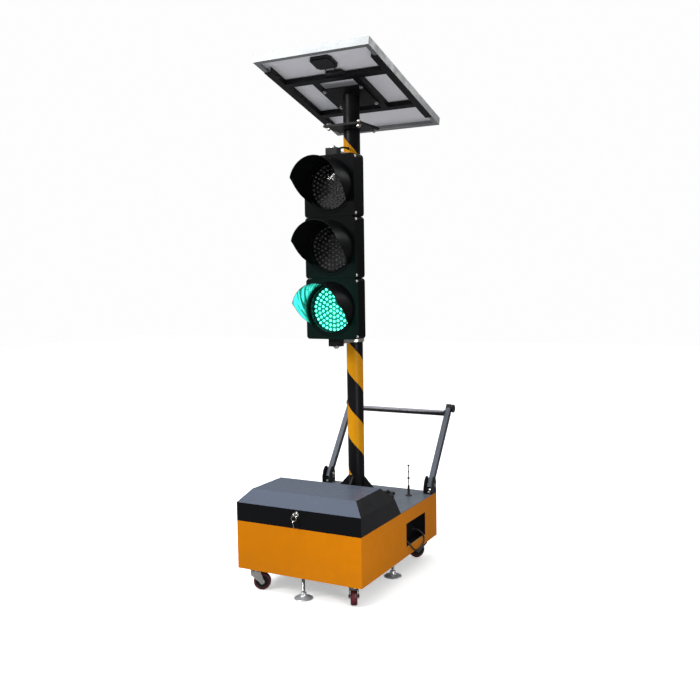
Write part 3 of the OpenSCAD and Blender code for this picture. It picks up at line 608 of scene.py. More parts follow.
for node, mat, bevel, segments in (
        ("base_shell", ORANGE, 0.0022, 3), ("base_floor", BLACK, 0, 2),
        ("lock_keeper", ZINC, 0.0004, 2), ("rear_deck", DECK, 0.0008, 2),
        ("side_recess", BLACK, 0, 2), ("battery", CASE, 0.004, 3),
        ("controller", BLUE, 0.002, 2), ("mast_foot", BLACK, 0.0012, 2),
        ("mast_pipe", STRIPES, 0, 2), ("mast_flange", BLACK, 0.0009, 2),
        ("upper_pole", BLACK, 0.0009, 2), ("panel_plate", BLACK, 0.0007, 2),
        ("panel_side_rails", BLACK, 0.0006, 2), ("panel_crossbars", BLACK, 0.0006, 2),
        ("panel_frame", ALU, 0.0008, 2), ("panel_glass", CELLS, 0.0004, 2),
        ("panel_backsheet", SHEET, 0, 2), ("handle_clevises", BLACK, 0.0008, 2),
        ("handle_arms", ARM, 0.0022, 3), ("lid_shell", LID, 0.0035, 3),
        ("lid_hinge_fixed", BLACK, 0.0004, 2), ("lid_hinge_moving", BLACK, 0.0004, 2),
        ("signal_housings", HEAD, 0.0014, 3)):
    dress(node, mat, bevel, segments)
for k in LAMPS:
    dress("door_" + k, HEAD, 0.0012, 3)
for k in CASTERS:
    # The right-hand forks take the darker zinc: painted shade, as they stand in shade.
    dress("caster_fork_" + k, ZINC_PAINTED_SHADE if k in ("fr", "rr") else ZINC, 0.0005)


def weld_beads():
    """Beads round the mast's foot, along the gussets, and the rounded weld at the flanges."""
    bm = bmesh.new()
    lo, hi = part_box("mast_flange")
    pole_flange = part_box("upper_pole")[0][2] + hi[2] - lo[2]
    for z, up in ((FOOT_TOP, 1), (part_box("mast_pipe")[1][2], -1), (pole_flange, 1)):
        bead = ((-0.0005, 0), (0.0055, 0), (0.0048, 0.0024), (0.0018, 0.005), (-0.0005, 0.0058))
        lathe(bm, [(MAST_RADIUS + out, z + up * high) for out, high in bead], ON_MAST, 64)
    for a in range(4):
        turn = ON_MAST @ turned(90 * a)
        for s in (-1, 1):
            line = [turn @ Vector((0.046 + 0.078 * t / 14, s * (0.0042 + 0.0006 * math.sin(t * 2.4)),
                                   FOOT_TOP + 0.0016)) for t in range(15)]
            sweep(bm, line, 0.0026, 8)
    piece("mast_welds", bm, "trolley", BLACK, smooth=60)


weld_beads()


def fixings():
    """Every bolt of the frame, with its washer, threads and nut."""
    bm = bmesh.new()
    painted_over = bmesh.new()
    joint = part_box("upper_pole")[0][2]
    lo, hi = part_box("mast_flange")
    leaf = hi[2] - lo[2]
    across = 0.0205
    for sx, sy in CORNERS:
        at = place(Vector((sx * 0.11, MAST.y + sy * 0.11, FOOT_TOP)))
        hex_bolt(painted_over, at, across, 0.007, 0.012, 0.024, turn=17 * sx + 9 * sy)
        thread(painted_over, at, 0.0115, 0.006, 0.0125)
        at = Vector((sx * 0.076, MAST.y + sy * 0.076, joint + leaf))
        hex_bolt(bm, place(at), across, 0.0068, 0.012, 2 * leaf + 0.0138, turn=11 * sx + 5 * sy)
        hex_bolt(bm, place(at - Vector((0, 0, 2 * leaf)), (0, 0, -1)), across, 0.0084, turn=7 * sx)
        if sy > 0:
            at = p3(0, 758, 318) + Vector((sx * ARM_OUT, 0, 0))
            hex_bolt(bm, place(at), 0.0138, 0.0046, 0.008, 0.018, turn=13)
    for sx, sy in CORNERS:
        hex_bolt(bm, PANEL @ place((sx * 0.091, sy * 0.08, -0.009), (0, 0, -1)), 0.0155, 0.0052,
                 turn=12 * sx + 20 * sy)
        hex_bolt(bm, PANEL @ place((sx * 0.091, sy * 0.08, 0.0)), 0.015, 0.005, turn=5)
    piece("frame_fixings", bm, "trolley", ZINC, replaces=["frame_bolts"], smooth=30)
    piece("mast_foot_bolts", painted_over, "trolley", CORE, smooth=30)


fixings()


def pivot_bolts():
    """The handle's bolts, each with a head outside its clevis and a nut inside."""
    bm = bmesh.new()
    for s in (-1, 1):
        out = place(PIVOT + Vector((s * (ARM_OUT + CLEVIS_HALF + CLEVIS_PLATE), 0, 0)), (s, 0, 0))
        prism(bm, hexagon(0.0205, 8 * s), 0.0005, 0.005, out, chamfer=0.0007)
        m = place(PIVOT + Vector((s * (ARM_OUT - CLEVIS_HALF - CLEVIS_PLATE), 0, 0)), (-s, 0, 0))
        hex_bolt(bm, m, 0.0205, 0.0062, turn=19)
        lathe(bm, [(0.0059, -0.044), (0.0059, 0.0)], m, 28)
        thread(bm, m, 0.0118, 0.0, 0.0098)
    piece("handle_pivot_bolts", bm, "trolley", ZINC, replaces=["handle_bolts"], smooth=30)


pivot_bolts()


def grip_ribs(bm, m, count, r, z, tall, low, high):
    """Ribs round a gland's nut, at radius r and up from z, with faces low inside r and high outside it."""
    for i in range(count):
        a = 2 * math.pi * i / count
        rib = m @ Matrix.Translation((*polar(r, a), z)) @ Matrix.Rotation(a, 4, "Z")
        prism(bm, [(low, -0.0009), (high, -0.0009), (high, 0.0009), (low, 0.0009)], 0, tall, rib)


def deck_pieces():
    """The whip antenna with its beads, and the cable gland."""
    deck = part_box("rear_deck")[1][2]
    bm = bmesh.new()
    prof = [(0, -0.01), (0.0045, -0.01), (0.0045, 0), (0.0149, 0.0), (0.015, 0.0022), (0.0138, 0.0038),
            (0.0085, 0.0046),
            (0.0078, 0.0075), (0.006, 0.0092), (0.0056, 0.02)]
    for i in range(7):
        z = 0.021 + i * 0.0038
        prof += [(0.0056, z), (0.006, z + 0.0012), (0.006, z + 0.0022), (0.0051, z + 0.003)]
    prof += [(0.0045, 0.049), (0.003, 0.0515), (0.0024, 0.053), (0.0024, 0.079), (0.0054, 0.0806),
             (0.0062, 0.0845),
             (0.0054, 0.0884), (0.0024, 0.09), (0.0024, 0.1115), (0.004, 0.113), (0.0044, 0.115), (0.004,
                     0.117),
             (0.0023, 0.1185), (0.0022, 0.1405), (0.0052, 0.1422), (0.0058, 0.1452), (0.0052, 0.1482), (0,
                     0.1498)]
    lathe(bm, prof, place(over("antenna", deck)), 36)
    piece("whip_antenna", bm, "trolley", PLASTIC, replaces=["antenna"], smooth=40)
    m = place(over("deck_gland", deck))
    bm = bmesh.new()
    prism(bm, hexagon(0.0238, 6), 0, 0.005, m, chamfer=0.0008)
    prof = [(0.0077, -0.012), (0.0077, 0), (0.0094, 0.005), (0.0095, 0.012), (0.0086, 0.0145),
            (0.006, 0.0158),
            (0.0042, 0.016), (0.004, 0.0205), (0.003, 0.0218), (0, 0.022)]
    lathe(bm, prof, m, 36)
    grip_ribs(bm, m, 14, 0.009, 0.0055, 0.006, -0.0005, 0.0004)
    piece("cable_gland", bm, "trolley", PLASTIC, replaces=["deck_gland"], smooth=40)


deck_pieces()


def recess_fittings():
    """The charging inlet with its cap ring, the lead's gland, and the recess's lip, its lower strip painted
    lighter as painted light on the lit sill.
    """
    bm = bmesh.new()
    disc = [polar(0.013, math.radians(a)) for a in range(0, 360, 15)]
    for back, outline in ((630, disc), (472, hexagon(0.0255, 11))):
        m = place(p3(246, back, 170), (1, 0, 0))
        prism(bm, outline, 0, 0.003, m, chamfer=0.0005)
        prof = [(0.009, 0.003), (0.009, 0.0092), (0.0082, 0.01), (0.006, 0.0102), (0.006, 0.0128),
                (0.0052, 0.015),
                (0.004, 0.016), (0.0036, 0.016)]
        lathe(bm, prof, m, 32)
        grip_ribs(bm, m, 12, 0.0088, 0.0035, 0.005, -0.0002, 0.0003)
    piece("recess_sockets", bm, "trolley", PLASTIC, replaces=["charger_inlet"],
          smooth=40)
    bm = bmesh.new()
    y0, y1, z0, z1 = 441, 656, 141, 251
    wide, gap, corner = 1.6, 0.2, 1.8
    strips = (((y0 + gap, z0 + gap), (y1 - gap, z0 + gap + wide)),
              ((y0 + gap, z1 - gap - wide), (y1 - gap, z1 - gap)),
              ((y0 + gap, z0 + corner), (y0 + gap + wide, z1 - corner)),
              ((y1 - gap - wide, z0 + corner), (y1 - gap, z1 - corner)))
    # The lower strip takes the lighter sill colour, painted light; the other strips are black.
    for k, (lo, hi) in enumerate(strips):
        box(bm, p3(293, *lo), p3(300.3, *hi), mat=0 if k == 0 else 1)
    piece("recess_lip", bm, "trolley", [SILL_PAINTED_LIGHT, BLACK], bevel=0.0004)


recess_fittings()


# ---------- solar panel ----------


def panel_extras():
    """The junction box with its lid and screws, its two leads and the cover of its plugs."""
    bm = bmesh.new()
    pts = [(-0.052, -0.03), (-0.04, -0.046), (0.04, -0.046), (0.052, -0.03), (0.052, 0.03), (0.04, 0.046),
           (-0.04, 0.046),
           (-0.052, 0.03)]
    m = PANEL @ Matrix.Translation((0.006, -0.274, 0))
    prism(bm, pts, 0.0135, 0.0274, m, chamfer=0.0012)
    prism(bm, [(x * 0.9, y * 0.9) for x, y in pts], 0.0096, 0.0136, m, chamfer=0.0014)
    for sx, sy in CORNERS:
        lathe(bm, [(0.004, 0.01), (0.004, 0.0088), (0.0015, 0.0086), (0, 0.0092)],
              m @ Matrix.Translation((sx * 0.036, sy * 0.031, 0)), 16)
    piece("junction_box_cover", bm, "trolley", PLASTIC, replaces=["junction_box"],
          smooth=30)
    bm = bmesh.new()
    course = ((0.022, -0.229, 0.02), (0.023, -0.218, 0.019), (0.024, -0.205, 0.016), (0.022, -0.19, 0.012),
              (0.016, -0.182, 0.009))
    for s in (-1, 1):
        sweep(bm, smooth_path([PANEL @ Vector((0.006 + s * x, y, z)) for x, y, z in course]), 0.0028, 12)
    prism(bm, [(-0.037, -0.178), (0.065, -0.178), (0.05, -0.205), (-0.022, -0.205)], 0.0045, 0.02, PANEL,
          chamfer=0.001)
    piece("panel_leads", bm, "trolley", PLASTIC, smooth=40)


panel_extras()


# ---------- lid, lock and keys ----------

LOCK_UP = 372  # height of the lock's axis, in millimetres


def lock_and_keys():
    """The lock's bezel, its core with the cam and the inserted key, and the ring with the spare key."""
    c = p3(0, 0, LOCK_UP)
    m = place(c, (0, -1, 0))
    bm = bmesh.new()
    prof = [(0.0061, -0.026), (0.0093, -0.026), (0.0094, -0.001), (0.012, -0.0002), (0.012, 0.0014),
            (0.0112, 0.0026), (0.0088, 0.003),
            (0.0078, 0.0024), (0.007, 0.0024), (0.0061, 0.0018)]
    lathe(bm, prof, m, 48)
    piece("lock_bezel", bm, "lid", CHROME, replaces=["lock_barrel"], smooth=40)
    bm = bmesh.new()
    lathe(bm, [(0, -0.0312), (0.0059, -0.0312), (0.0059, 0.002), (0.0052, 0.003), (0, 0.003)], m, 36)
    box(bm, p3(-9, 28.6, 315.2), p3(9, 31.4, 381))
    key_shape(bm, p3(0, -18, LOCK_UP), 0.0103, Vector((0, -0.004, 0)), None)
    box(bm, c + Vector((-0.0011, -0.0092, -0.004)), c + Vector((0.0011, -0.0025, 0.004)))
    piece("lock_core_and_key", bm, "lock", KEY, replaces=["lock_cam"], smooth=30,
          bevel=0.0003)
    bm = bmesh.new()
    hang = p3(0, -22, LOCK_UP)
    ring = [hang + Vector((0.012 * math.sin(a), 0.0005 * math.sin(a * 0.5), -0.012 + 0.012 * math.cos(a)))
            for a in (2 * math.pi * i / 60 for i in range(61))]
    sweep(bm, ring, 0.0009, 10)
    low = hang + Vector((0, 0, -0.029))
    key_shape(bm, low, 0.0084, Vector((0, 0, 0.005)), (-0.0338, -0.006))
    piece("ring_and_spare_key", bm, "keys", KEY, replaces=["key_set"], smooth=30,
          bevel=0.00025)


def key_shape(bm, at, r, hole, blade):
    """A flat key's bow with a hole, in the plane across X, and its cut blade."""
    half = 0.001
    hr = 0.0025
    out_ring, in_ring = [], []
    n = 40
    for i in range(n):
        a = 2 * math.pi * i / n
        d = Vector((0, math.cos(a), math.sin(a)))
        out_ring.append(at + d * r)
        in_ring.append(at + hole + d * hr)
    layers = []
    for x in (-half, half):
        layers.append(([bm.verts.new(p + Vector((x, 0, 0))) for p in out_ring],
                       [bm.verts.new(p + Vector((x, 0, 0))) for p in in_ring]))
    for i in range(n):
        j = (i + 1) % n
        (o0, i0), (o1, i1) = layers
        bm.faces.new((o0[i], o0[j], i0[j], i0[i]))
        bm.faces.new((o1[i], i1[i], i1[j], o1[j]))
        bm.faces.new((o0[i], o1[i], o1[j], o0[j]))
        bm.faces.new((i0[i], i0[j], i1[j], i1[i]))
    if blade:
        z0, z1 = blade
        teeth = [(0.0035, z1), (0.0035, z1 - 0.006), (0.002, z1 - 0.009), (0.0032, z1 - 0.012),
                 (0.0017, z1 - 0.015),
                 (0.003, z1 - 0.018), (0.0018, z1 - 0.021), (0.0028, z1 - 0.024), (0.0012, z0)]
        outline = [(-0.0034, z1)] + [(-0.0034, z0 + 0.002), (-0.002, z0)] + [(y, z) for y,
                z in reversed(teeth)]
        front = [bm.verts.new(at + Vector((-half, y, z))) for y, z in outline]
        rear = [bm.verts.new(at + Vector((half, y, z))) for y, z in outline]
        k = len(outline)
        bm.faces.new(front)
        bm.faces.new(list(reversed(rear)))
        for i in range(k):
            bm.faces.new((front[i], rear[i], rear[(i + 1) % k], front[(i + 1) % k]))


lock_and_keys()


# ---------- handle ----------


def handle_bar():
    """The crossbar with its welds, and the round discs and plugs at the arms' ends."""
    m = Matrix.Translation(PIVOT) @ turned(-36.5, "X")
    bm = bmesh.new()
    inner = ARM_OUT - ARM_HALF
    bar = m @ Matrix.Translation((0, -0.007, 0.385)) @ turned(90, "Y")
    prof = [(0, -inner), (0.0133, -inner), (0.0135, -inner + 0.0006)]
    prof += [(0.0135, -inner + (2 * inner) * i / 12) for i in range(1, 12)]
    prof += [(0.0135, inner - 0.0006), (0.0133, inner), (0, inner)]
    lathe(bm, prof, bar, 48)
    for s in (-1, 1):
        weld = ((0.013, 0.0001), (0.017, 0.0001), (0.0162, 0.0022), (0.014, 0.0042))
        lathe(bm, [(r, s * (inner - back)) for r, back in weld], bar, 36)
    piece("handle_bar", bm, "handle", BAR, replaces=["handle_crossbar"], smooth=40)
    bm = bmesh.new()
    for s in (-1, 1):
        cap = m @ Matrix.Translation((s * (ARM_OUT + ARM_HALF), 0.008, 0.422)) @ turned(90 * s, "Y")
        prof = [(0, 0.0001), (0.018, 0.0001), (0.0196, 0.0012), (0.02, 0.003), (0.02, 0.0092),
                (0.0192, 0.011), (0.0172, 0.0119),
                (0.008, 0.0119), (0.007, 0.0108), (0.0052, 0.0108), (0.0048, 0.0118), (0, 0.0119)]
        lathe(bm, prof, cap, 48)
        plug = 0.0131
        box(bm, (s * ARM_OUT - plug, -plug, 0.415), (s * ARM_OUT + plug, plug, 0.4354), m)
    piece("handle_end_discs", bm, "handle", PLASTIC, smooth=40, bevel=0.0012)


handle_bar()


# ---------- casters ----------


def wheel_profile(side, w):
    """Both sides of a wheel from one side's (radius, depth under its face), w being half its width."""
    return [(r, d - w) for r, d in side] + [(r, w - d) for r, d in reversed(side)]


def caster(k):
    """One wheel's tread and core, the axle's ends, and the cover of the swivel."""
    spin = JOINT["caster_roll_" + k]
    swivel = JOINT["caster_swivel_" + k]
    c = Vector(spin["pos_m"])
    axis = Vector(spin["axis"]).normalized()
    m = place(c, axis)
    w = 0.015  # half the wheel's width
    bm = bmesh.new()
    side = ((0.0282, 0.001), (0.0325, 0.0008), (0.0352, 0.0022), (0.037, 0.0048), (0.03745, 0.009))
    lathe(bm, wheel_profile(side, w), m, 72)
    piece("tread_" + k, bm, "wheel_" + k, TREAD, smooth=50)
    bm = bmesh.new()
    side = ((0.0041, 0), (0.0105, 0), (0.0118, 0.001), (0.0122, 0.0032), (0.024, 0.0038), (0.0262, 0.0012),
            (0.0283, 0.0008))
    lathe(bm, wheel_profile(side, w) + [(0.0041, -w)], m, 72)
    for s in (-1, 1):
        for i in range(6):
            z0, z1 = sorted((s * (w - 0.0042), s * (w - 0.002)))
            box(bm, (0.012, -0.0011, z0), (0.0245, 0.0011, z1), m @ turned(60 * i))
    piece("wheel_core_" + k, bm, "wheel_" + k, CORE, replaces=["caster_wheel_" + k],
          smooth=40)
    bm = bmesh.new()
    for s in (-1, 1):
        head = place(c + axis * s * 0.0197, axis * s)
        prism(bm, hexagon(0.0138, 14), 0.0, 0.0032, head, chamfer=0.0005)
    lathe(bm, [(0.0226, -0.0026), (0.0236, -0.0008), (0.0228, 0.0012), (0.018, 0.0018)],
          place((swivel["pos_m"][0], swivel["pos_m"][1], 0.0892)), 44)
    piece("caster_axle_" + k, bm, "fork_" + k, ZINC, smooth=40)


for k in CASTERS:
    caster(k)


def caster_tops():
    """The casters' plates with cut corners, bearing cups, king pins and bolts."""
    bm = bmesh.new()
    for k in CASTERS:
        x, y, _ = JOINT["caster_swivel_" + k]["pos_m"]
        cut = []
        for sx, sy in CORNERS:
            px, py = x + sx * 0.038, y + sy * 0.029
            cut += [(px - sx * 0.006, py), (px, py - sy * 0.006)]
        prism(bm, sorted_round(cut), 0.0981, 0.102, Matrix.Identity(4), chamfer=0.0004)
        lathe(bm, [(0.006, 0.0921), (0.0205, 0.0921), (0.0218, 0.093), (0.022, 0.0945), (0.0208, 0.0972),
                   (0.019, 0.0981)],
              Matrix.Translation((x, y, 0)), 48)
        lathe(bm, [(0, 0.0757), (0.008, 0.0757), (0.009, 0.0767), (0.009, 0.0796), (0.006, 0.0797),
                   (0.006, 0.0925)],
              Matrix.Translation((x, y, 0)), 28)
        for sx, sy in CORNERS:
            at = Vector((x + sx * 0.03, y + sy * 0.021, 0.0981))
            hex_bolt(bm, place(at, (0, 0, -1)), 0.0126, 0.0026, turn=9 * sx)
    piece("caster_top_plates", bm, "trolley", ZINC, replaces=["caster_plates"], smooth=30)


def sorted_round(points):
    """The points in order round their middle."""
    cx = sum(p[0] for p in points) / len(points)
    cy = sum(p[1] for p in points) / len(points)
    return sorted(points, key=lambda p: math.atan2(p[1] - cy, p[0] - cx))


caster_tops()


# ---------- levelling feet ----------


def feet():
    """The two nuts that guide each foot, and each foot's disc and threaded stem."""
    bm = bmesh.new()
    for k in FEET:
        for z0, h, across in ((0.105, 0.014, 0.0256), (0.0932, 0.0088, 0.0236)):
            prism_hole(bm, hexagon(across, 12), 0.00709, z0, z0 + h, Matrix.Translation(over("foot_" + k)))
    piece("foot_nuts", bm, "trolley", ZINC, replaces=["foot_bushes"], smooth=30,
          bevel=0.0004)
    for k in FEET:
        lo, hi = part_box("foot_" + k)
        m = Matrix.Translation(over("foot_" + k))
        r = (hi[0] - lo[0]) / 2
        bm = bmesh.new()
        pad = [(0, 0.0), (r - 0.0025, 0.0), (r - 0.0006, 0.0008), (r, 0.0022), (r - 0.0008, 0.0036),
               (r - 0.004, 0.0048), (r - 0.01, 0.0068),
               (0.022, 0.0098), (0.017, 0.0118), (0.0145, 0.015), (0.0131, 0.018), (0.0126, 0.0225), (0.0117,
                       0.0258),
               (0.0095, 0.0272), (0.0066, 0.0279)]
        lathe(bm, pad, m, 72)
        piece("foot_disc_" + k, bm, "foot_" + k, DISC, smooth=50)
        bm = bmesh.new()
        ridges = 46
        prof = [(0, 0.0262), (0.0062, 0.0262), (0.0062, 0.033)]
        for i in range(ridges):
            z = 0.0335 + i * 0.00205
            prof += [(0.00615, z), (0.00695, z + 0.0009)]
        prof += [(0.0062, 0.1287), (0.0056, 0.1294), (0, 0.1295)]
        lathe(bm, prof, m, 28)
        piece("foot_stem_" + k, bm, "foot_" + k, STEEL, replaces=["foot_" + k], smooth=50)


def prism_hole(bm, outline, hole, z0, z1, m):
    """A nut: an outline round a hole."""
    n = 36
    angles = [2 * math.pi * i / n for i in range(n)]

    def rings(z):
        inner = [bm.verts.new(m @ Vector((*polar(hole, a), z))) for a in angles]
        outer = [bm.verts.new(m @ Vector((*on_outline(outline, a), z))) for a in angles]
        return inner, outer

    (ia, oa), (ib, ob) = rings(z0), rings(z1)
    for i in range(n):
        j = (i + 1) % n
        bm.faces.new((ia[i], oa[i], oa[j], ia[j]))
        bm.faces.new((ib[i], ib[j], ob[j], ob[i]))
        bm.faces.new((oa[i], ob[i], ob[j], oa[j]))
        bm.faces.new((ia[i], ia[j], ib[j], ib[i]))


def on_outline(outline, a):
    """Where a ray from the middle at angle a meets a convex outline."""
    d = Vector((math.cos(a), math.sin(a)))
    best = None
    for i in range(len(outline)):
        p, q = Vector(outline[i]), Vector(outline[(i + 1) % len(outline)])
        e = q - p
        det = d.x * e.y - d.y * e.x
        if abs(det) < 1e-12:
            continue
        t = (p.x * e.y - p.y * e.x) / det
        s = (p.x * d.y - p.y * d.x) / det
        if t > 0 and -1e-9 <= s <= 1 + 1e-9:
            best = t if best is None else min(best, t)
    return d * best


feet()


# ---------- signal head ----------

HEAD_Y = MAST.y - 0.223  # the plane of the doors' faces
# The hood's front edge from the side: how far forward, and how high from the lamp's middle.
VISOR_SIDE = [(0.0, -0.072), (0.03, -0.058), (0.058, -0.04), (0.084, -0.018), (0.106, 0.002), (0.126, 0.018),
              (0.143, 0.028)]


def lamp_height(k):
    return centre("door_" + k).z


def visor_reach(z):
    """How far forward the visor reaches at height z from the lamp's middle."""
    if z >= VISOR_SIDE[-1][1]:
        return VISOR_SIDE[-1][0]
    for (d0, z0), (d1, z1) in zip(VISOR_SIDE, VISOR_SIDE[1:]):
        if z0 <= z <= z1:
            t = (z - z0) / (z1 - z0)
            return d0 + (d1 - d0) * t
    return 0.0


def visor(k, z, lit):
    """Moulded hood: outside, inside, rolled front rim, and its back edge closed against the door."""
    bm = bmesh.new()
    outer, thick = 0.115, 0.0025
    inner = outer - thick
    n, deep = 128, 14
    start = math.asin(0.0715 / outer)
    angles = [-start + (math.pi + 2 * start) * i / n for i in range(n + 1)]

    def point(a, r, d):
        return Vector((r * math.cos(a), HEAD_Y - d, z + r * math.sin(a)))

    def reach(r, a):
        return visor_reach(r * math.sin(a))

    skins = []
    for r in (outer, inner):
        rows = []
        for j in range(deep + 1):
            t = j / deep
            rows.append([bm.verts.new(point(a, r, max(0.0004, (reach(r, a) - 0.0007) * t))) for a in angles])
        skins.append(rows)
    middle = (outer + inner) / 2
    rim = [bm.verts.new(point(a, middle, max(0.0006, reach(middle, a)))) for a in angles]
    for s, rows in enumerate(skins):
        for j in range(deep):
            for i in range(n):
                f = bm.faces.new((rows[j][i], rows[j][i + 1], rows[j + 1][i + 1], rows[j + 1][i]))
                f.material_index = s if lit else 0
    for i in range(n):
        bm.faces.new((skins[0][-1][i], skins[0][-1][i + 1], rim[i + 1], rim[i]))
        bm.faces.new((skins[1][-1][i], rim[i], rim[i + 1], skins[1][-1][i + 1]))
        bm.faces.new((skins[0][0][i], skins[1][0][i], skins[1][0][i + 1], skins[0][0][i + 1]))
    bmesh.ops.remove_doubles(bm, verts=bm.verts, dist=0.00001)
    mats = [VISOR, LIT_LINING] if lit else [VISOR]
    piece("hood_" + k, bm, "door_" + k, mats, replaces=["visor_" + k], smooth=50)


def lit_lining():
    """Black hood lining that catches the lamp's green in long streaks."""
    n = Nodes("lit_lining")
    where = n.xyz()
    turn = n.maths("ARCTAN2", n.minus(where["Z"], lamp_height(LIT)), where["X"])
    depth = n.minus(HEAD_Y, where["Y"])
    side = n.spread(where["X"], 0.02, -0.1, 0.035, 1)
    both = n.add("ShaderNodeCombineXYZ")
    n.put(both.inputs[0], n.plus(n.times(turn, 1.9), n.times(depth, 15)))
    n.put(both.inputs[1], n.times(depth, 3))
    streak = n.add("ShaderNodeTexNoise")
    n.put(streak.inputs["Vector"], both.outputs[0])
    streak.inputs["Scale"].default_value = 3.4
    streak.inputs["Detail"].default_value = 2
    lines = n.spread(streak.outputs["Fac"], 0.42, 0.54, 0.1, 1)
    fade = n.spread(depth, 0.018, 0.055, 0.0, 1)
    glow = n.times(n.times(lines, side), fade)
    n.set(Base_Color=rgb((0.004, 0.02, 0.015)), Roughness=n.spread(n.noise(50), 0.3, 0.7, 0.22, 0.34))
    n.set(Emission_Color=n.mix(lines, (0.0, 0.62, 0.48, 1), (0.06, 0.95, 0.78, 1)))
    n.set(Emission_Strength=n.times(glow, 1.35))
    n.bump(n.noise(900, 2), 0.1, 0.0003)
    return n.mat


LIT_LINING = lit_lining()


def glowing_plastic():
    """The head's plastic with the lit lamp's light painted on it: a faint green glow round the lamp."""
    n = Nodes("signal_plastic_painted_green_glow", HEAD)
    where = n.xyz()
    x, z = where["X"], n.minus(where["Z"], lamp_height(LIT))
    far = n.maths("SQRT", n.plus(n.maths("POWER", x, 2.0), n.maths("POWER", z, 2.0)))
    glow = n.times(n.spread(far, 0.1, 0.3, 1, 0), n.spread(n.noise(7, 3), 0.2, 0.8, 0.7, 1))
    n.set(Emission_Color=(0.0, 0.75, 0.52, 1), Emission_Strength=n.times(glow, 0.016))
    return n.mat


PAINTED_GREEN_GLOW = glowing_plastic()
# The green and amber doors take the painted green glow.
for k in ("green", "amber"):
    frame["nodes"]["door_" + k].data.materials[0] = PAINTED_GREEN_GLOW


def diode_places():
    """The diodes in rings of 6, 12, 18 and so on round the middle one."""
    out = [(0.0, 0.0)]
    for ring in range(1, 6):
        for i in range(6 * ring):
            a = 2 * math.pi * (i + 0.5 * (ring % 2)) / (6 * ring)
            out.append(polar(0.0186 * ring, a))
    return out


def lamp(k, z, lit):
    """Board with domed diodes, and the clear cover in the door."""
    front = HEAD_Y + 0.0293
    bm = bmesh.new()
    m = place((0, front + 0.004, z), (0, -1, 0))
    lathe(bm, [(0, -0.034), (0.0838, -0.034), (0.0842, -0.0005), (0.1015, -0.0005), (0.1028, 0.0008),
               (0.1028, 0.003), (0.1015, 0.004),
               (0.0985, 0.004), (0.0975, 0.003), (0, 0.003)], m, 72, mats=[0, 0, 0, 0, 0, 0, 0, 0, 1])
    for a in range(4):
        post = m @ turned(90 * a) @ Matrix.Translation((0.092, 0, 0))
        lathe(bm, [(0.004, -0.0575), (0.004, 0.0)], post, 20)
    piece("diode_board_" + k, bm, "signal", [BOARD, ON_BOARD if lit else BOARD],
          replaces=["led_modules"] if k == "green" else (), smooth=40)
    bm = bmesh.new()
    for x, up in diode_places():
        d = m @ Matrix.Translation((x, up, 0.003))
        r = 0.0054
        lathe(bm, [(r, 0), (r * 0.96, 0.0018), (r * 0.78, 0.0038), (r * 0.42, 0.0052), (0, 0.0056)], d, 14)
    piece("diodes_" + k, bm, "signal", ON_DIODE if lit else OFF_DIODE, smooth=60)
    bm = bmesh.new()
    r_in, dome = 0.097, 0.01
    rad = (r_in * r_in + dome * dome) / (2 * dome)
    most = math.asin(r_in / rad)
    m = place((0, HEAD_Y + 0.0082, z), (0, -1, 0))

    def skin(r):
        return [(r * math.sin(most * i / 20), dome - rad + r * math.cos(most * i / 20)) for i in range(21)]

    edge = [(0.0975, -0.0004), (0.1038, -0.0005), (0.104, -0.0015), (0.104, -0.006), (0.0942, -0.006)]
    prof = skin(rad) + edge + skin(rad - 0.003)[::-1]
    lathe(bm, prof, m, 96)
    piece("cover_" + k, bm, "door_" + k, COVER_ON if lit else COVER_OFF,
          replaces=["lens_" + k], smooth=60)
    bm = bmesh.new()
    m = place((0, HEAD_Y, z), (0, -1, 0))
    lathe(bm, [(0.1022, -0.0078), (0.1022, 0.0014), (0.1032, 0.0026), (0.105, 0.003), (0.1072, 0.003),
               (0.1088, 0.002), (0.1092, 0.0002)], m, 96)
    lathe(bm, [(0.1152, 0.0002), (0.1156, 0.0018), (0.1166, 0.0026), (0.1186, 0.0026), (0.1196, 0.0016),
               (0.1199, 0.0002)], m, 96)
    piece("lens_rings_" + k, bm, "door_" + k, HEAD, smooth=40)


def door_screws(k, z):
    """Captive screws with washers on the door's right edge."""
    bm = bmesh.new()
    for s in (-1, 1):
        at = Vector((0.1235, HEAD_Y + 0.0125, z + s * 0.1205))
        m = place(at, (1, 0, 0))
        lathe(bm, [(0, -0.002), (0.0062, -0.002), (0.0062, 0.0008), (0.0056, 0.0014), (0.0046, 0.0014),
                   (0.0046, 0.0034), (0.0038, 0.0044),
                   (0.0014, 0.0048), (0, 0.0046)], m, 28)
    piece("door_screws_" + k, bm, "door_" + k, SCREW, smooth=40)


for k in LAMPS:
    visor(k, lamp_height(k), k == LIT)
    lamp(k, lamp_height(k), k == LIT)
    door_screws(k, lamp_height(k))


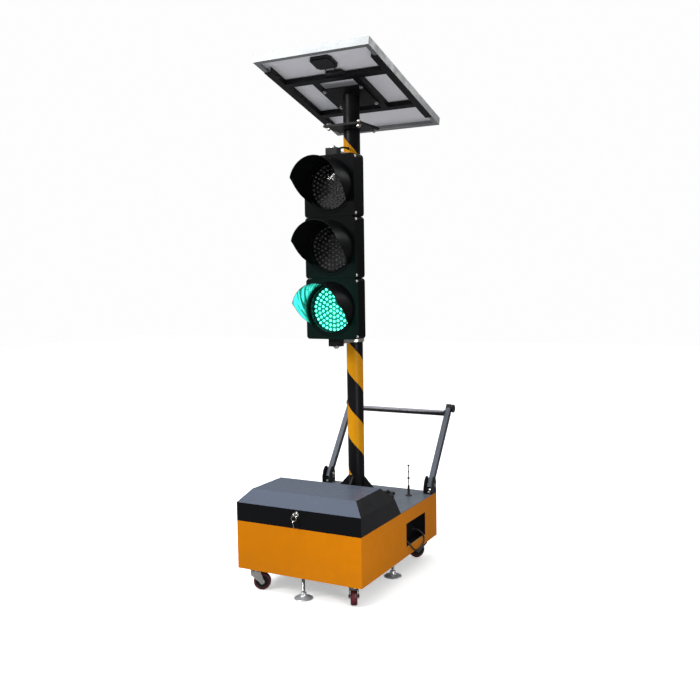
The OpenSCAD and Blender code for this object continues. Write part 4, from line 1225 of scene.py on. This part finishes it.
def head_mounting():
    """Blocks with their nuts, clamps round the mast, and the head's cable."""
    dress("signal_brackets", BLACK, 0.0018, 3)
    dress("signal_clamps", ZINC, 0.0008)
    lo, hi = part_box("signal_brackets")
    bm = bmesh.new()
    for z, up in ((hi[2], 1), (lo[2], -1)):
        at = Vector((0, HEAD_Y + 0.045, z + up * 0.0001))
        m = place(at, (0, 0, up))
        lathe(bm, [(0.0064, 0), (0.0165, 0), (0.0165, 0.0018), (0.0064, 0.0018)], m, 32)
    piece("head_washers", bm, "signal", ZINC, smooth=35)
    bm = bmesh.new()
    for low, high in (("green", "amber"), ("amber", "red")):
        z0, z1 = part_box("door_" + low)[1][2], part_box("door_" + high)[0][2]
        box(bm, (-0.11, HEAD_Y + 0.03, z0 - 0.0006), (0.11, HEAD_Y + 0.088, z1 + 0.0006))
        box(bm, (-0.1255, HEAD_Y + 0.0035, z0 + 0.0003), (0.1255, HEAD_Y + 0.03, z1 - 0.0003))
    piece("section_seals", bm, "signal", PLASTIC)
    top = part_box("signal_housings")[1][2] + 0.0005
    route = [(158, 30), (152, 30), (146, 31), (136, 34), (122, 39), (106, 44), (88, 48), (70, 50), (54, 51),
             (39.5, 51)]
    pts = smooth_path([Vector((0, MAST.y - a / 1000, top + h / 1000)) for a, h in route])
    bm = bmesh.new()
    sweep(bm, pts, 0.00448, 18)
    cable = piece("head_cable", bm, "signal", CORD, replaces=["signal_cable"], smooth=50)
    bm = bmesh.new()
    lathe(bm, [(0.0045, 0.0002), (0.007, 0.0002), (0.007, 0.004), (0.0058, 0.0065), (0.0046, 0.0072)],
          place(pts[0], pts[1] - pts[0]), 24)
    piece("cable_ferrule", bm, "signal", CORD, smooth=50)


head_mounting()

# ---------- studio ----------


def studio():
    """The pale floor, four soft lights and a sky that is brighter higher up."""
    bm = bmesh.new()
    bmesh.ops.create_grid(bm, x_segments=8, y_segments=8, size=14)
    for v in bm.verts:
        v.co.z = -0.0004
    floor = linked("studio_floor", bm)
    n = Nodes("studio_floor")
    pale = n.mix(n.spread(n.noise(0.8, 3), 0.3, 0.7), (0.9, 0.9, 0.9, 1), (0.93, 0.93, 0.93, 1))
    seen = n.add("ShaderNodeLightPath").outputs["Is Camera Ray"]
    n.set(Base_Color=n.mix(seen, (0.24, 0.24, 0.25, 1), pale), Roughness=0.95, Specular_IOR_Level=0.1)
    n.set(Emission_Color=(1, 1, 1, 1), Emission_Strength=n.times(seen, 0.42))
    floor.data.materials.append(n.mat)

    def area(name, at, aim, size, watts, colour=(1, 1, 1)):
        data = bpy.data.lights.new(name, "AREA")
        data.shape = "RECTANGLE"
        data.size, data.size_y = size
        data.energy = watts
        data.color = colour
        o = bpy.data.objects.new(name, data)
        bpy.context.scene.collection.objects.link(o)
        o.location = at
        o.rotation_euler = (Vector(aim) - Vector(at)).to_track_quat("-Z", "Y").to_euler()
        o.visible_camera = False

    area("key", (-2.4, -4.2, 3.4), (0, 0, 0.8), (1.2, 1.2), 142, (1.0, 0.985, 0.96))
    area("top", (-1.6, -1.1, 5.3), (-0.2, -0.2, 0.3), (6.0, 4.6), 270, (0.93, 0.97, 1.0))
    area("fill", (1.55, -1.4, 0.7), (0.3, -0.2, 0.3), (0.7, 0.7), 14, (1.0, 0.97, 0.94))
    area("edge", (1.9, 3.0, 3.4), (0.3, 0, 2.2), (0.8, 0.8), 16)
    world = bpy.data.worlds.new("studio")
    world.use_nodes = True
    bpy.context.scene.world = world
    tree = world.node_tree
    back = tree.nodes["Background"]
    where = tree.nodes.new("ShaderNodeTexCoord").outputs["Generated"]
    parts = tree.nodes.new("ShaderNodeSeparateXYZ")
    tree.links.new(where, parts.inputs[0])
    rise = tree.nodes.new("ShaderNodeMapRange")
    tree.links.new(parts.outputs["Z"], rise.inputs["Value"])
    for key, v in (("From Min", 0.0), ("From Max", 0.75), ("To Min", 0.1), ("To Max", 0.75)):
        rise.inputs[key].default_value = v
    path = tree.nodes.new("ShaderNodeLightPath")
    level = tree.nodes.new("ShaderNodeMix")
    tree.links.new(path.outputs["Is Camera Ray"], level.inputs["Factor"])
    tree.links.new(rise.outputs["Result"], level.inputs["A"])
    level.inputs["B"].default_value = 0.985
    tree.links.new(level.outputs["Result"], back.inputs["Strength"])
    back.inputs["Color"].default_value = (1, 1, 1, 1)
    bpy.context.scene.view_settings.view_transform = "Standard"


studio()

bpy.context.view_layer.update()
